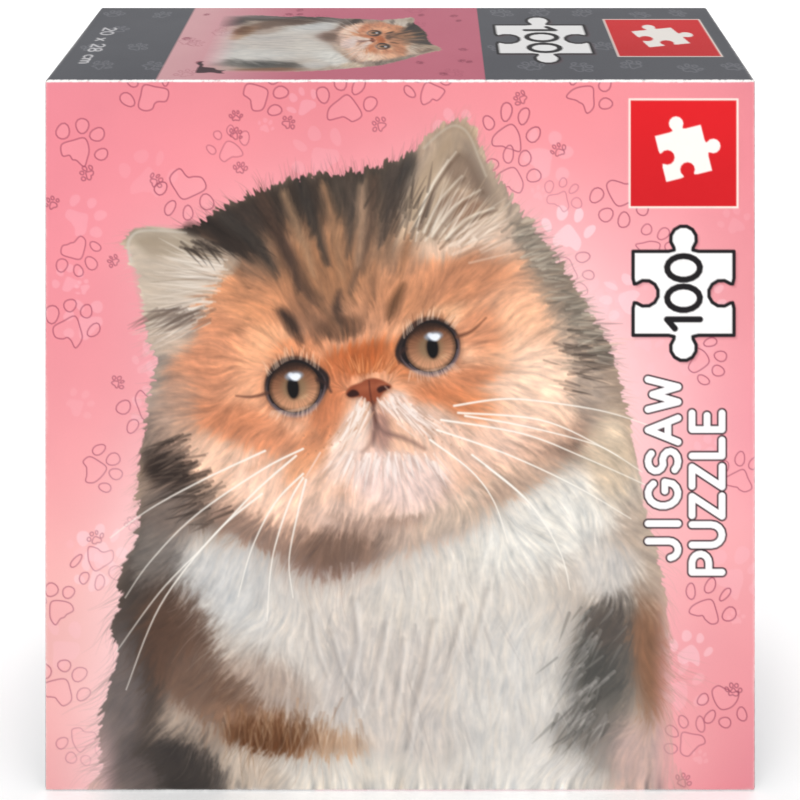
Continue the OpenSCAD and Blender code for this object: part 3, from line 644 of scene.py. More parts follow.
def paint_face(s):
    r = np.random.RandomState(77)
    # left ear: a clear triangle, then strands fanning from its root
    s.shape(curve([(129, 240), (134, 233), (146, 229), (166, 228), (190, 233), (214, 243), (238, 258), (228, 276), (206, 282),
                   (186, 300), (168, 322), (150, 326), (141, 300), (134, 268)], 5, True), rgb(190, 174, 156), .62, 4.0)
    s.shape(curve([(136, 240), (160, 234), (192, 240), (222, 254), (206, 262), (178, 256), (150, 256)], 5, True), rgb(150, 134, 114), .55, 4.0)
    for n in range(150):
        t = r.rand()
        x, y = 226 - 34 * t + 5 * r.randn(), 262 + 62 * t + 4 * r.randn()
        lightness = r.rand()
        colour = rgb(238, 228, 216) if lightness > 0.40 else rgb(132, 112, 96) if lightness < 0.16 else rgb(206, 190, 172)
        lock(s, x, y, -0.94, -0.26 + 0.62 * t + 0.07 * r.randn(), r.uniform(30, 66), r.uniform(0.6, 1.4), colour, r.uniform(.22, .5), r)
    for n in range(40):
        x, y = 186 + 12 * r.randn(), 306 + 16 * r.rand()
        lock(s, x, y, -0.92, 0.40 + 0.1 * r.randn(), r.uniform(22, 42), r.uniform(0.8, 1.6), rgb(104, 88, 78), .34, r)
    s.stroke(curve([(190, 228), (212, 236), (232, 246), (252, 262)], 6), 5.0, 1.5, rgb(54, 44, 39), .75, 4.0)
    for n in range(60):
        x, y = 214 + 20 * r.randn(), 240 + 10 * r.rand()
        lock(s, x, y, 0.75, 0.55 + 0.16 * r.randn(), r.uniform(12, 26), r.uniform(.7, 1.5), rgb(52, 43, 38), .42, r)
    # right ear
    s.shape(curve([(398, 204), (410, 176), (428, 150), (446, 132), (458, 128), (468, 136), (480, 154), (494, 176), (506, 202), (498, 226),
                   (470, 242), (436, 244), (412, 236)], 5, True), rgb(190, 168, 146), .55, 4.0)
    s.shape(curve([(462, 140), (474, 150), (488, 174), (500, 200), (490, 214), (478, 196), (468, 168)], 5, True), rgb(140, 122, 108), .6, 4.0)
    s.shape(curve([(404, 208), (414, 184), (430, 160), (444, 142), (452, 144), (438, 168), (426, 196), (418, 222)], 5, True), rgb(172, 148, 122), .55, 4.0)
    s.shape(curve([(446, 164), (458, 152), (470, 158), (480, 176), (488, 196), (476, 196), (462, 186), (448, 178)], 5, True), rgb(110, 88, 74), .52, 4.0)
    s.shape(curve([(440, 204), (456, 196), (474, 198), (486, 206), (478, 222), (458, 228), (442, 220)], 5, True), rgb(122, 88, 70), .62, 5.0)
    for n in range(110):
        t = r.rand()
        x, y = 412 + 70 * t + 4 * r.randn(), 238 - 8 * t + 8 * r.randn()
        lightness = r.rand()
        colour = rgb(236, 222, 204) if lightness > 0.52 else rgb(104, 82, 68) if lightness < 0.26 else rgb(204, 180, 152)
        lock(s, x, y, 0.34 + 0.42 * t, -0.86 + 0.20 * t + 0.07 * r.randn(), r.uniform(30, 72) * (1 - 0.35 * t), r.uniform(0.6, 1.4), colour, r.uniform(.2, .48), r)
    for n in range(36):
        x, y = 438 + 44 * r.rand(), 242 + 8 * r.randn()
        lock(s, x, y, 0.75, -0.50 + 0.14 * r.randn(), r.uniform(22, 46), r.uniform(0.9, 1.8), rgb(246, 226, 208) if r.rand() > .3 else rgb(150, 116, 94), .34, r)
    for pts in ([(424, 232), (440, 200), (462, 176)], [(432, 236), (452, 208), (480, 190)], [(416, 226), (430, 190), (448, 160)],
                [(446, 238), (468, 218), (494, 208)], [(420, 214), (434, 182), (456, 152)]):
        s.stroke(curve(pts, 6), 1.5, .5, rgb(240, 228, 210), .7, 1.0)
        s.stroke(curve(np.array(pts, float) + (3.0, 2.5), 6), 1.7, .5, rgb(96, 74, 60), .5, 1.6)
    for n in range(60):
        x, y = 396 + 12 * r.randn(), 212 + 14 * r.randn()
        lock(s, x, y, 0.30, -0.92 + 0.1 * r.randn(), r.uniform(16, 34), r.uniform(.8, 1.6), rgb(64, 54, 48), .36, r)
    # pale rims of the ears
    s.stroke(curve([(131, 262), (128, 246), (132, 236), (142, 231), (164, 231), (186, 233)], 6), 1.6, 0.6, rgb(205, 196, 182), .75, 1.0)
    s.stroke(curve([(424, 148), (440, 133), (452, 126), (462, 128), (470, 137), (478, 156), (486, 176)], 6), 1.2, 1.0, rgb(196, 182, 164), .7, 1.0)

    # bridge, nose and mouth
    for n in range(60):
        x, y = 366 + 20 * r.randn() * 0.7, 374 - 6 * r.rand()
        lock(s, x, y, (x - 366) * 0.03 + 0.05 * r.randn(), -1, r.uniform(8, 18), r.uniform(.5, 1.1),
             [rgb(214, 126, 74), rgb(236, 158, 104), rgb(170, 94, 54)][r.randint(3)], .6, r)
    nose = curve([(346, 394), (350, 387), (360, 383), (368, 379), (378, 379), (388, 384), (391, 387), (384, 392),
                  (378, 400), (373, 405), (368, 402), (360, 397), (352, 397)], 5, True)
    s.shape(nose + np.array([0, 1.5]), rgb(90, 46, 30), .55, 2.5)
    s.shape(nose, rgb(146, 74, 48), 1.0, 0.9)
    s.shape(oval(366, 388, 9, 4, -8), rgb(176, 98, 66), .6, 3)
    s.shape(oval(381, 386, 5, 3, -12), rgb(186, 112, 82), .55, 2)
    s.shape(curve([(347, 394), (352, 390), (357, 391), (359, 395), (354, 397), (349, 397)], 4, True), rgb(48, 20, 16), .95, 0.8)
    s.shape(curve([(377, 389), (381, 386), (388, 386), (390, 388), (384, 391), (379, 393)], 4, True), rgb(50, 20, 16), .95, 0.8)
    s.stroke(curve([(369, 381), (370, 392), (372, 404)], 5), .6, .8, rgb(78, 34, 24), .75, 0.6)
    s.stroke(curve([(373, 403), (374, 414), (377, 427)], 6), 1.6, 2.2, rgb(96, 62, 54), .85, 1.6)
    s.stroke(curve([(377, 426), (386, 433), (400, 437), (414, 443), (424, 449)], 6), 2.6, 1.0, rgb(120, 92, 86), .75, 2.4)
    s.stroke(curve([(377, 427), (374, 437), (368, 447), (362, 452)], 6), 2.0, .8, rgb(140, 108, 98), .65, 2.4)
    s.stroke(curve([(374, 432), (373, 446)], 4), 1.2, .6, rgb(92, 66, 60), .45, 2.0)
    # muzzle locks
    for n in range(90):
        t = r.rand()
        x, y = 366 - 18 * t + 4 * r.randn(), 404 + 26 * t + 4 * r.randn()
        colour = rgb(250, 236, 226) if r.rand() > .3 else rgb(206, 158, 128)
        lock(s, x, y, -0.35 - 0.35 * t, 0.95, r.uniform(12, 30), r.uniform(.5, 1.2), colour, r.uniform(.35, .7), r)
    for n in range(100):
        t = r.rand()
        x, y = 382 + 44 * t + 4 * r.randn(), 398 + 22 * t + 5 * r.randn()
        colour = rgb(250, 236, 228) if r.rand() > .3 else rgb(196, 160, 140)
        lock(s, x, y, 0.55 + 0.3 * t, 0.85 - 0.3 * t, r.uniform(12, 30), r.uniform(.5, 1.2), colour, r.uniform(.35, .7), r)
    for n in range(110):
        x, y = 388 + 26 * r.randn(), 452 + 12 * r.rand()
        colour = rgb(252, 240, 234) if r.rand() > .35 else rgb(212, 184, 172)
        lock(s, x, y, (x - 388) * 0.012 + 0.1 * r.randn(), 1, r.uniform(14, 34), r.uniform(.6, 1.5), colour, r.uniform(.3, .6), r)
    # whisker beds: short rows of dots
    for row in range(3):
        for n in range(5):
            s.shape(oval(336 - n * 8 + row * 2, 424 + row * 9 + n * 3, .8, .8, 0, 8), rgb(168, 116, 88), .55, .5)
            s.shape(oval(424 + n * 9, 418 + row * 9 + n * 3, .8, .8, 0, 8), rgb(172, 128, 102), .5, .5)

    # long soft locks of the chest, parted in the middle
    for n in range(260):
        x, y = r.uniform(200, 600), r.uniform(560, 724)
        k = 1 - abs(x - 400) / 260
        light = r.rand()
        colour = rgb(242, 236, 228) if light > .45 else rgb(226, 212, 196) if light > .25 else rgb(164, 158, 155)
        if 560 < x and y > 590 or x < 262 and y > 600:
            continue
        lock(s, x, y, (x - 400) * 0.0018 + 0.13 * r.randn(), 1, r.uniform(22, 58), r.uniform(.7, 1.9) * (0.6 + 0.6 * k), colour,
             r.uniform(.10, .26) * (0.4 + 0.8 * k), r)
    for pts, wd in (([(352, 600), (356, 640), (350, 676), (356, 716)], 2.6), ([(384, 624), (377, 660), (372, 704)], 2.0),
                    ([(432, 622), (424, 664), (412, 712), (406, 748)], 3.0), ([(330, 632), (340, 668), (358, 704)], 2.0),
                    ([(462, 606), (454, 640), (444, 672)], 2.0), ([(310, 612), (314, 644), (326, 676)], 1.8),
                    ([(402, 640), (398, 676), (392, 716)], 2.0), ([(486, 590), (478, 622), (470, 652)], 1.6)):
        s.stroke(curve(pts, 6), wd, .5, rgb(120, 112, 108), .30, 3.0)
        off = np.array(pts, float) + (5, 4)
        s.stroke(curve(off, 6), wd * .9, .4, rgb(244, 238, 230), .42, 2.2)
    for n in range(150):
        t = r.rand()
        x, y = 588 - 14 * t + 12 * r.randn(), 606 + 130 * t
        lock(s, x + 18 * r.rand(), y, -0.62 + 0.2 * r.randn(), 0.75, r.uniform(14, 32), r.uniform(.8, 1.9), rgb(66, 66, 63) if r.rand() > .5 else rgb(186, 182, 176), r.uniform(.16, .34), r)
    for n in range(70):
        x, y = 285 + 38 * r.randn(), 718 + 12 * r.randn()
        lock(s, x, y, 0.12 * r.randn() - 0.1, 1, r.uniform(16, 34), r.uniform(.7, 1.6), [rgb(124, 84, 58), rgb(186, 146, 112), rgb(222, 198, 172)][r.randint(3)], .22, r)

    for n in range(150):
        t = r.rand()
        x, y = 178 + 34 * t + 9 * r.randn(), 446 + 62 * t + 12 * r.randn()
        k = r.rand()
        colour = rgb(46, 36, 31) if k > .45 else rgb(104, 88, 78) if k > .16 else rgb(176, 150, 132)
        lock(s, x, y, -0.86, 0.34 + 0.12 * r.randn(), r.uniform(16, 38), r.uniform(.7, 1.7), colour, r.uniform(.25, .5), r)
    for n in range(110):
        x, y = 574 + 12 * r.randn(), 356 + 17 * r.randn()
        k = r.rand()
        colour = rgb(66, 56, 50) if k > .5 else rgb(140, 124, 110) if k > .25 else rgb(220, 190, 164)
        lock(s, x, y, 0.98, 0.10 + 0.12 * r.randn(), r.uniform(14, 32), r.uniform(.7, 1.6), colour, r.uniform(.22, .46), r)
    for n in range(170):
        t = r.rand()
        x, y = 512 + 84 * t + 7 * r.randn(), 226 + 128 * t + 7 * r.randn()
        k = r.rand()
        colour = rgb(104, 96, 86) if k > .62 else rgb(150, 140, 126) if k > .3 else rgb(200, 188, 170)
        lock(s, x, y, 0.88, -0.30 + 0.36 * t + 0.12 * r.randn(), r.uniform(12, 26), r.uniform(.7, 1.6), colour, r.uniform(.25, .5), r)
    for n in range(120):
        x, y = 274 + 26 * r.randn(), 722 + 8 * r.randn()
        k = r.rand()
        colour = rgb(104, 66, 40) if k > .5 else rgb(158, 116, 82) if k > .25 else rgb(206, 178, 150)
        lock(s, x, y, 0.10 + 0.14 * r.randn(), 1, r.uniform(14, 32), r.uniform(.9, 2.0), colour, r.uniform(.12, .28), r)

    # eyes
    paint_eye(s, 294.5, 387.5, 27.0, 26.0, -14, (-1.5, 0.5), 1)
    paint_eye(s, 430.5, 347.5, 27.0, 25.5, -14, (2.0, 0.5), -1)
    s.stroke(curve([(268, 393), (252, 397), (236, 396)], 6), 1.8, .5, rgb(88, 56, 44), .8, 1.0)
    s.stroke(curve([(457, 337), (472, 331), (486, 318)], 6), 1.8, .5, rgb(104, 64, 46), .8, 1.0)
    s.stroke(curve([(318, 380), (326, 384), (331, 392)], 6), 2.2, .8, rgb(52, 34, 32), .8, 1.4)
    s.stroke(curve([(405, 349), (399, 355), (399, 363)], 6), 2.2, .8, rgb(58, 38, 34), .8, 1.4)
    for n in range(34):
        t = n / 33
        x, y = 268 + 50 * t, 376 - 15 * math.sin(t * 3.0) - 4 * t
        lock(s, x, y, -0.55 + 0.8 * t, -1, r.uniform(7, 15), r.uniform(.5, .9), rgb(250, 214, 184) if r.rand() > .35 else rgb(120, 80, 60), .5, r)
        x, y = 404 + 50 * t, 338 - 15 * math.sin(t * 3.0) - 7 * t
        lock(s, x, y, -0.3 + 1.0 * t, -1, r.uniform(7, 15), r.uniform(.5, .9), rgb(252, 218, 190) if r.rand() > .35 else rgb(130, 86, 62), .5, r)
        x, y = 272 + 44 * t, 411 + 3 * math.sin(t * 3.0) - 8 * t
        lock(s, x, y, -0.7 + 0.9 * t, 1, r.uniform(5, 12), r.uniform(.4, .8), rgb(250, 216, 190), .4, r)
        x, y = 410 + 44 * t, 371 + 3 * math.sin(t * 3.0) - 8 * t
        lock(s, x, y, -0.2 + 1.1 * t, 1, r.uniform(5, 12), r.uniform(.4, .8), rgb(252, 216, 190), .4, r)

    # whiskers
    for pts in WHISKERS:
        s.stroke(curve(pts, 8), 1.05, .35, rgb(255, 250, 240), .92, 0.3)


WHISKERS = [
    [(265, 451), (205, 479), (150, 509), (110, 538)], [(303, 449), (262, 470), (195, 516), (150, 562), (125, 598)],
    [(296, 456), (255, 492), (205, 545), (160, 592), (117, 651)], [(262, 494), (215, 534), (160, 606), (126, 690)],
    [(303, 474), (275, 503), (252, 548), (238, 597)], [(303, 478), (288, 506), (272, 560), (267, 621)],
    [(306, 480), (298, 512), (289, 560), (293, 598)],
    [(454, 406), (506, 399), (560, 404), (610, 413), (656, 428)], [(458, 413), (540, 420), (600, 446), (642, 472)],
    [(465, 416), (523, 426), (590, 443), (618, 456)], [(441, 420), (523, 434), (585, 458), (650, 487)],
    [(437, 430), (506, 454), (575, 486), (631, 519)], [(430, 440), (471, 471), (494, 502), (508, 543)],
    [(472, 455), (512, 486), (536, 510), (552, 534)], [(486, 466), (530, 504), (560, 552), (570, 590)],
]


def paint_front(k):
    """The picture panel. One unit is one of 711 across the square face."""
    s = Sheet(44.5, 80.5, 755.5, 791.5, k)
    ground(s, [
        (60, 100, rgb(228, 134, 146), 90), (330, 95, rgb(238, 140, 149), 120), (590, 105, rgb(250, 150, 157), 90),
        (740, 110, rgb(238, 142, 152), 70), (75, 300, rgb(243, 148, 158), 90), (70, 450, rgb(245, 160, 166), 80),
        (75, 600, rgb(251, 188, 184), 90), (60, 770, rgb(229, 156, 158), 70), (120, 660, rgb(251, 196, 190), 60),
        (600, 235, BLUSH, 60), (640, 330, rgb(249, 186, 190), 60), (650, 420, ROSE_MIST, 50), (735, 430, rgb(238, 148, 160), 60),
        (740, 300, rgb(240, 150, 158), 60), (715, 640, rgb(243, 160, 166), 60), (735, 770, PINK_DARK, 60),
        (690, 740, rgb(247, 164, 166), 40), (690, 520, rgb(249, 182, 184), 50), (220, 160, rgb(246, 150, 158), 80),
        (480, 130, rgb(248, 148, 156), 80)], 3)
    r = np.random.RandomState(21)
    # pale filled paws, the soft under-print
    for n in range(58):
        x, y = r.uniform(50, 750), r.uniform(85, 790)
        paw(s, x, y, r.choice([9, 17, 24, 30]), r.uniform(-60, 60), PAW_FILL, r.uniform(.14, .34), seed=n)
    for x, y, size, ang, a in ((567, 236, 27, 8, .75), (627, 300, 24, -70, .55), (100, 553, 26, 20, .55), (98, 580, 22, -20, .5),
                               (705, 300, 20, 30, .35), (640, 640, 24, 60, .4), (690, 655, 22, 10, .45)):
        paw(s, x, y, size, ang, rgb(254, 214, 222), a, seed=int(x))
    # outlined paws
    for x, y, size, ang, a in (
            (186, 187, 30, 196, .85), (509, 137, 29, 14, .85), (511, 178, 27, 14, .85), (622, 194, 30, 196, .75),
            (566, 272, 26, 118, .8), (148, 406, 29, 196, .75), (98, 560, 26, 196, .7), (345, 108, 30, 10, .7), (258, 96, 26, 60, .7),
            (150, 96, 27, -30, .7), (78, 150, 28, 30, .7), (75, 250, 24, 150, .65), (70, 330, 28, 20, .7), (95, 470, 24, 80, .7),
            (700, 360, 24, 100, .7), (706, 610, 28, 30, .75), (725, 700, 26, 200, .7), (690, 742, 24, -40, .6), (60, 690, 28, 30, .7),
            (82, 740, 24, 190, .6), (430, 92, 24, -20, .7), (585, 96, 26, 40, .7), (740, 480, 24, 20, .6), (58, 610, 24, -40, .65),
            (650, 250, 24, 60, .6), (560, 200, 20, 30, .4), (230, 150, 22, -20, .45)):
        paw(s, x, y, size, ang, rgb(248, 166, 174), .28, .5, rgb(142, 52, 78), min(1, a * 1.05), seed=int(x * 3 + y))
    # small dark prints
    for n in range(30):
        x, y = r.uniform(52, 748), r.uniform(88, 786)
        if n < 9:
            x, y = ((236, 118), (287, 124), (381, 126), (240, 170), (154, 182), (559, 152), (115, 262), (116, 384), (96, 540))[n]
        paw(s, x, y, r.uniform(6.5, 8.5), r.uniform(-70, 70), None, 0, .55, rgb(132, 52, 74), .62, seed=900 + n)
    glow = Sheet(44.5, 80.5, 755.5, 791.5, 0.25)
    glow.shape(curve(CAT, 4, True), (1, 1, 1))
    g = blur(glow.a[..., 0], 9)
    gy = np.linspace(80.5, 791.5, g.shape[0])[:, None]
    gx = np.linspace(44.5, 755.5, g.shape[1])[None, :]
    g = g * (0.35 + 0.9 * smoothstep(gx, 480, 600) * smoothstep(-gy, -560, -300) + 0.9 * smoothstep(-gx, -240, -120) * smoothstep(gy, 380, 560))
    g = resize(np.clip(g * 1.25, 0, 0.85).astype(np.float32), s.h, s.w)[..., None]
    s.a[:] = s.a + (rgb(255, 214, 214) - s.a) * g
    s.mask = paint_cat(s)
    s.a_soft = blur(s.a, 1.2 * k)
    paint_badge(s, 683.5, 293.5, 0)
    paint_label(s, 683.5, 153.5)
    # upright words
    for text, x, y, size, gap in (("JIGSAW", 648, 560, 30, 8.6), ("PUZZLE", 692, 574, 30, 8.4)):
        word(s, text, x, y, size, gap, -90, [(5.0, rgb(38, 24, 30), .95), (3.5, rgb(255, 252, 252), 1.0)], 1.0)
    return s


def knob_outline(cx, cy, w, h, sides, n=10):
    """A jigsaw piece's outline: sides is (top, right, bottom, left), 1 for a knob and -1 for a socket."""
    r = min(w, h) * 0.155

    def side(a, b, kind):
        a, b = np.array(a, float), np.array(b, float)
        d = b - a
        ln = np.hypot(*d)
        d /= ln
        nrm = np.array([d[1], -d[0]]) * kind
        m = (a + b) / 2
        out = [a]
        if kind:
            out += [m - d * r * 1.15 + nrm * 0.0, m - d * r * 0.72 + nrm * r * 0.10]
            for t in np.radians(np.linspace(222, -42, n)):
                out.append(m + d * r * math.cos(t) + nrm * (r * 0.95 + r * math.sin(t)))
            out += [m + d * r * 0.72 + nrm * r * 0.10, m + d * r * 1.15]
        return out

    x0, x1, y0, y1 = cx - w / 2, cx + w / 2, cy - h / 2, cy + h / 2
    p = side((x0, y0), (x1, y0), sides[0]) + side((x1, y0), (x1, y1), sides[1])
    p += side((x1, y1), (x0, y1), sides[2]) + side((x0, y1), (x0, y0), sides[3])
    return np.array(p)


def paint_badge(s, cx, cy, turn, scale=1.0, flip=False):
    """White jigsaw piece with the number of pieces, read from below up, or from above down."""
    w, h = 101 * scale, 84 * scale
    p = knob_outline(cx, cy, w, h, (1, -1, 1, -1))
    s.shape(p + np.array([2.2, 2.6]) * scale, rgb(120, 50, 60), .35, 2.2)
    s.shape(p, rgb(252, 251, 250), 1.0, 0, 1.7 * scale, rgb(26, 22, 26))
    width = (WIDE["1"] + WIDE["0"] * 2) * 33 * scale + 2 * 6.6 * scale
    if flip:
        word(s, "100", cx + 16.5 * scale, cy - width / 2, 33 * scale, 6.6 * scale, 90, [(3.0 * scale, rgb(24, 20, 24), 1.0)], 1.0)
    else:
        word(s, "100", cx - 16.5 * scale, cy + width / 2, 33 * scale, 6.6 * scale, -90, [(3.0 * scale, rgb(24, 20, 24), 1.0)], 1.0)


def paint_label(s, cx, cy, half=55.0):
    """Small square label: red, cream border, a plain white jigsaw piece."""
    b = half

    def sq(k):
        return np.array([(cx - k, cy - k), (cx + k, cy - k), (cx + k, cy + k), (cx - k, cy + k)])

    s.shape(sq(b), rgb(250, 236, 226), 1.0)
    s.shape(sq(b * 0.962), rgb(226, 26, 34), 1.0)
    p = s.part(cx - b, cy - b, cx + b, cy + b)
    if p:
        sl, X, Y = p
        s.lay(sl, np.where((abs(X - cx) < b * .96) & (abs(Y - cy) < b * .96), 0.22 * smoothstep(Y, cy - b, cy + b), 0), rgb(168, 12, 24))
    q = knob_outline(cx, cy, b * 0.86, b * 0.86, (1, 1, -1, -1))
    c, sn = math.cos(math.radians(-14)), math.sin(math.radians(-14))
    q = np.stack([cx + (q[:, 0] - cx) * c - (q[:, 1] - cy) * sn, cy + (q[:, 0] - cx) * sn + (q[:, 1] - cy) * c], 1)
    s.shape(q, rgb(255, 249, 242), 1.0, 0.2)


GREY = rgb(91, 92, 98)


def grey_ground(s, x0, y0, x1, y1, seed, colour=GREY):
    """Dark grey paper with faint line prints on a loose grid."""
    p = s.part(x0, y0, x1, y1)
    sl, X, Y = p
    keep = ((X > x0) & (X < x1) & (Y > y0) & (Y < y1)).astype(np.float32)
    s.lay(sl, keep, colour)
    r = np.random.RandomState(seed)
    n = 0
    for gy in np.arange(y0 + 22, y1 - 4, 52):
        for gx in np.arange(x0 + 20 + (n % 2) * 26, x1 - 6, 54):
            x, y = gx + r.uniform(-7, 7), gy + r.uniform(-6, 6)
            if x0 + 14 < x < x1 - 12:
                paw(s, x, y, r.uniform(11, 14), r.uniform(-70, 70), None, 0, .7, rgb(138, 139, 146), .75, seed=int(seed * 77 + gx + gy * 3))
        n += 1


def pink_ground(s, x0, y0, x1, y1, seed):
    p = s.part(x0, y0, x1, y1)
    sl, X, Y = p
    keep = ((X > x0) & (X < x1) & (Y > y0) & (Y < y1)).astype(np.float32)
    t = smoothstep(X, x0, x0 + (x1 - x0) * .5)[..., None]
    s.lay(sl, keep, rgb(226, 172, 176) * (1 - t) + rgb(206, 112, 132) * t)
    r = np.random.RandomState(seed)
    for n in range(int((x1 - x0) * (y1 - y0) / 1500)):
        x, y = r.uniform(x0 + 9, x1 - 9), r.uniform(y0 + 8, y1 - 8)
        if n % 3 == 0:
            paw(s, x, y, r.uniform(10, 13), r.uniform(-60, 60), None, 0, .45, rgb(150, 62, 86), .35, seed=n)
        else:
            paw(s, x, y, r.uniform(3.4, 4.6), r.uniform(-70, 70), None, 0, .55, rgb(120, 40, 62), .5, seed=90 + n)


def small_cat(s, x0, y0, x1, y1, front, mask, where):
    """The cat again, small: where(X, Y) gives the place in the front picture and a fade."""
    p = s.part(x0, y0, x1, y1)
    sl, X, Y = p
    ax, ay, fade = where(X, Y)
    j = (ax - front.x0) * front.k
    i = (ay - front.y0) * front.k
    ok = (i > 1) & (j > 1) & (i < front.h - 2) & (j < front.w - 2)
    cover = gather(mask, i, j) * fade * ok
    s.a[sl] = s.a[sl] * (1 - cover[..., None]) + gather(front.a_soft, i, j) * cover[..., None]


SITTING = [(0, 0), (3, -9), (10, -13), (13, -20), (12, -26), (17, -22), (22, -22), (26, -26), (26, -18), (23, -12), (22, -5),
           (24, 3), (24, 12), (20, 14), (10, 14), (2, 14), (-8, 13), (-16, 18), (-24, 16), (-26, 10), (-20, 12), (-12, 8), (-3, 8)]


def side_prints(s, front, mask, x, turn=0):
    """The row of prints along a narrow side: size words, small picture, badge and label."""
    y1 = s.h / s.k
    grey_ground(s, 44.5, 0, 156, y1, 3)
    grey_ground(s, 485, 0, 755.5, y1, 4)
    pink_ground(s, 155.4, 0, 485.3, y1, 5)

    def where(X, Y):
        ay = np.where(X > 325, 545 - (X - 325) / 0.276, 545 + (325 - X) / 0.537)
        ax = 359 + (Y - 100) / 0.286
        fade = smoothstep(X, 186, 226) * smoothstep(Y, 6, 22) * smoothstep(-Y, -204, -190)
        return ax, ay, fade

    small_cat(s, 160, 2, 480, 208, front, mask, where)
    c = np.array(SITTING, float) * 0.74
    s.shape(curve(np.stack([206 + c[:, 1] * -1.0 - 4, 181 + c[:, 0] * 0.8 - 4], 1), 3, True), rgb(58, 34, 42), .92, .4)
    word(s, "20 x 28 cm", 80, 66, 13.5, 3.1, 90, [(1.1, rgb(226, 224, 226), .95)], 0.9)
    paint_badge(s, 553, 99, 0, flip=True)
    paint_label(s, 683, 94, 55.5)


def paint_side(front, mask, k, seed=0):
    s = Sheet(44.5, 0, 755.5, 209.9, k)
    side_prints(s, front, mask, seed)
    return s


def paint_back(front, mask, k):
    """The back panel: the picture small with its cut lines, the size and the badge, on grey."""
    s = Sheet(0, 0, 691, 691, k)
    grey_ground(s, 0, 0, 691, 691, 9)
    # picture of the finished puzzle, 200 by 280
    x0, y0, w, h = 60.0, 62.0, 405.0, 567.0
    s.shape(np.array([(x0 - 5, y0 - 5), (x0 + w + 5, y0 - 5), (x0 + w + 5, y0 + h + 5), (x0 - 5, y0 + h + 5)]), rgb(247, 240, 238), 1.0, .4)
    sl, X, Y = s.part(x0, y0, x0 + w, y0 + h)
    ok = ((X > x0) & (X < x0 + w) & (Y > y0) & (Y < y0 + h)).astype(np.float32)
    ax = 72 + (X - x0) / w * 508
    ay = 80.5 + (Y - y0) / h * 711
    pic = gather(front.a_soft, (ay - front.y0) * front.k, (ax - front.x0) * front.k)
    s.lay(sl, ok, pic)
    for k2 in range(100):
        i, j = k2 % 10, k2 // 10
        p = np.array(outline(i, j))
        p = np.stack([x0 + (p[:, 0] + (i + .5) * 20) / 200 * w, y0 + h - (p[:, 1] + (j + .5) * 28) / 280 * h], 1)
        s.stroke(np.vstack([p, p[:1]]), .42, .42, rgb(90, 60, 66), .42)
    paint_label(s, 578, 120, 58)
    paint_badge(s, 578, 292, 0)
    word(s, "20 x 28 cm", 512, 404, 20, 4.0, 0, [(1.5, rgb(226, 224, 226), .95)], 0.9)
    word(s, "JIGSAW", 512, 470, 24, 5.0, 0, [(2.2, rgb(244, 240, 240), 1.0)], 0.95)
    word(s, "PUZZLE", 512, 512, 24, 5.0, 0, [(2.2, rgb(244, 240, 240), 1.0)], 0.95)
    for n, x in enumerate((520, 560, 600)):
        paw(s, x + 6, 590, 15, (-20, 5, 24)[n], rgb(206, 112, 132), .9, .6, rgb(236, 200, 206), .7, seed=n)
    return s


def paint_tray_side(k):
    s = Sheet(0, 0, 691, 203, k)
    grey_ground(s, 0, 0, 691, 203, 12, rgb(96, 97, 103))
    return s


# ------------------------------------------------------------------ puzzle pieces
# The outline rules of the die-cut pieces, in millimetres.


def frac_sin(n):
    v = math.sin(math.radians(n * 137.508 + 11.7)) * 917.31
    return v - math.floor(v)


def cut(ln, e):
    side = 1 if frac_sin(e) > 0.5 else -1
    c = ln / 2 + (frac_sin(e + 0.31) - 0.5) * 0.12 * 20
    r = 2.4 * (0.92 + 0.1 * frac_sin(e + 0.57))
    bow = (frac_sin(e + 0.83) - 0.5) * 0.8
    p = [(0, 0), (0.2 * ln, bow * 0.8), (c - 1.35 * r, bow * 0.4), (c - 0.95 * r, side * 0.03 * r)]
    for s in range(8):
        a = math.radians(220 - s * 260 / 7)
        p.append((c + r * math.cos(a), side * (0.83 * r + r * math.sin(a))))
    return p + [(c + 0.95 * r, side * 0.03 * r), (c + 1.35 * r, -bow * 0.4), (0.8 * ln, -bow * 0.8), (ln, 0)]


def row_cut(i, j):
    return [(0, 0), (20, 0)] if j in (0, 10) else cut(20, 11 + i * 31 + j * 7)


def column_cut(i, j):
    return [(0, 0), (28, 0)] if i in (0, 10) else cut(28, 503 + i * 17 + j * 29)


def outline(i, j):
    p = [(-10 + a, -14 + b) for a, b in row_cut(i, j)[:-1]]
    p += [(10 + b, -14 + a) for a, b in column_cut(i + 1, j)[:-1]]
    p += [(-10 + a, 14 + b) for a, b in row_cut(i, j + 1)[:0:-1]]
    p += [(-10 + b, -14 + a) for a, b in column_cut(i, j)[:0:-1]]
    return p


HORIZON, WORLD, KEY, FILL, TOP = 0.96, 0.50, 2.6, 1.4, 5.0


# ------------------------------------------------------------------ mesh helpers
MM = 0.001


def linear(a):
    a = np.clip(a, 0, 1)
    return np.where(a <= 0.04045, a / 12.92, ((a + 0.055) / 1.055) ** 2.4).astype(np.float32)


def sample(canvas, u, v):
    """Colours of a canvas at fractions u (to the right) and v (down)."""
    h, w = canvas.shape[:2]
    x = np.clip(u * w - 0.5, 0, w - 1.001).astype(np.float32)
    y = np.clip(v * h - 0.5, 0, h - 1.001).astype(np.float32)
    j, i = x.astype(np.int32), y.astype(np.int32)
    fx, fy = (x - j)[..., None], (y - i)[..., None]
    return ((canvas[i, j] * (1 - fx) + canvas[i, j + 1] * fx) * (1 - fy)
            + (canvas[i + 1, j] * (1 - fx) + canvas[i + 1, j + 1] * fx) * fy)


def shrink(a):
    """A light low-pass before the canvas is sampled at about half its own spacing."""
    p = np.pad(a, ((1, 1), (1, 1), (0, 0)), mode="edge")
    q = p[:-2] * 0.2 + p[1:-1] * 0.6 + p[2:] * 0.2
    return q[:, :-2] * 0.2 + q[:, 1:-1] * 0.6 + q[:, 2:] * 0.2


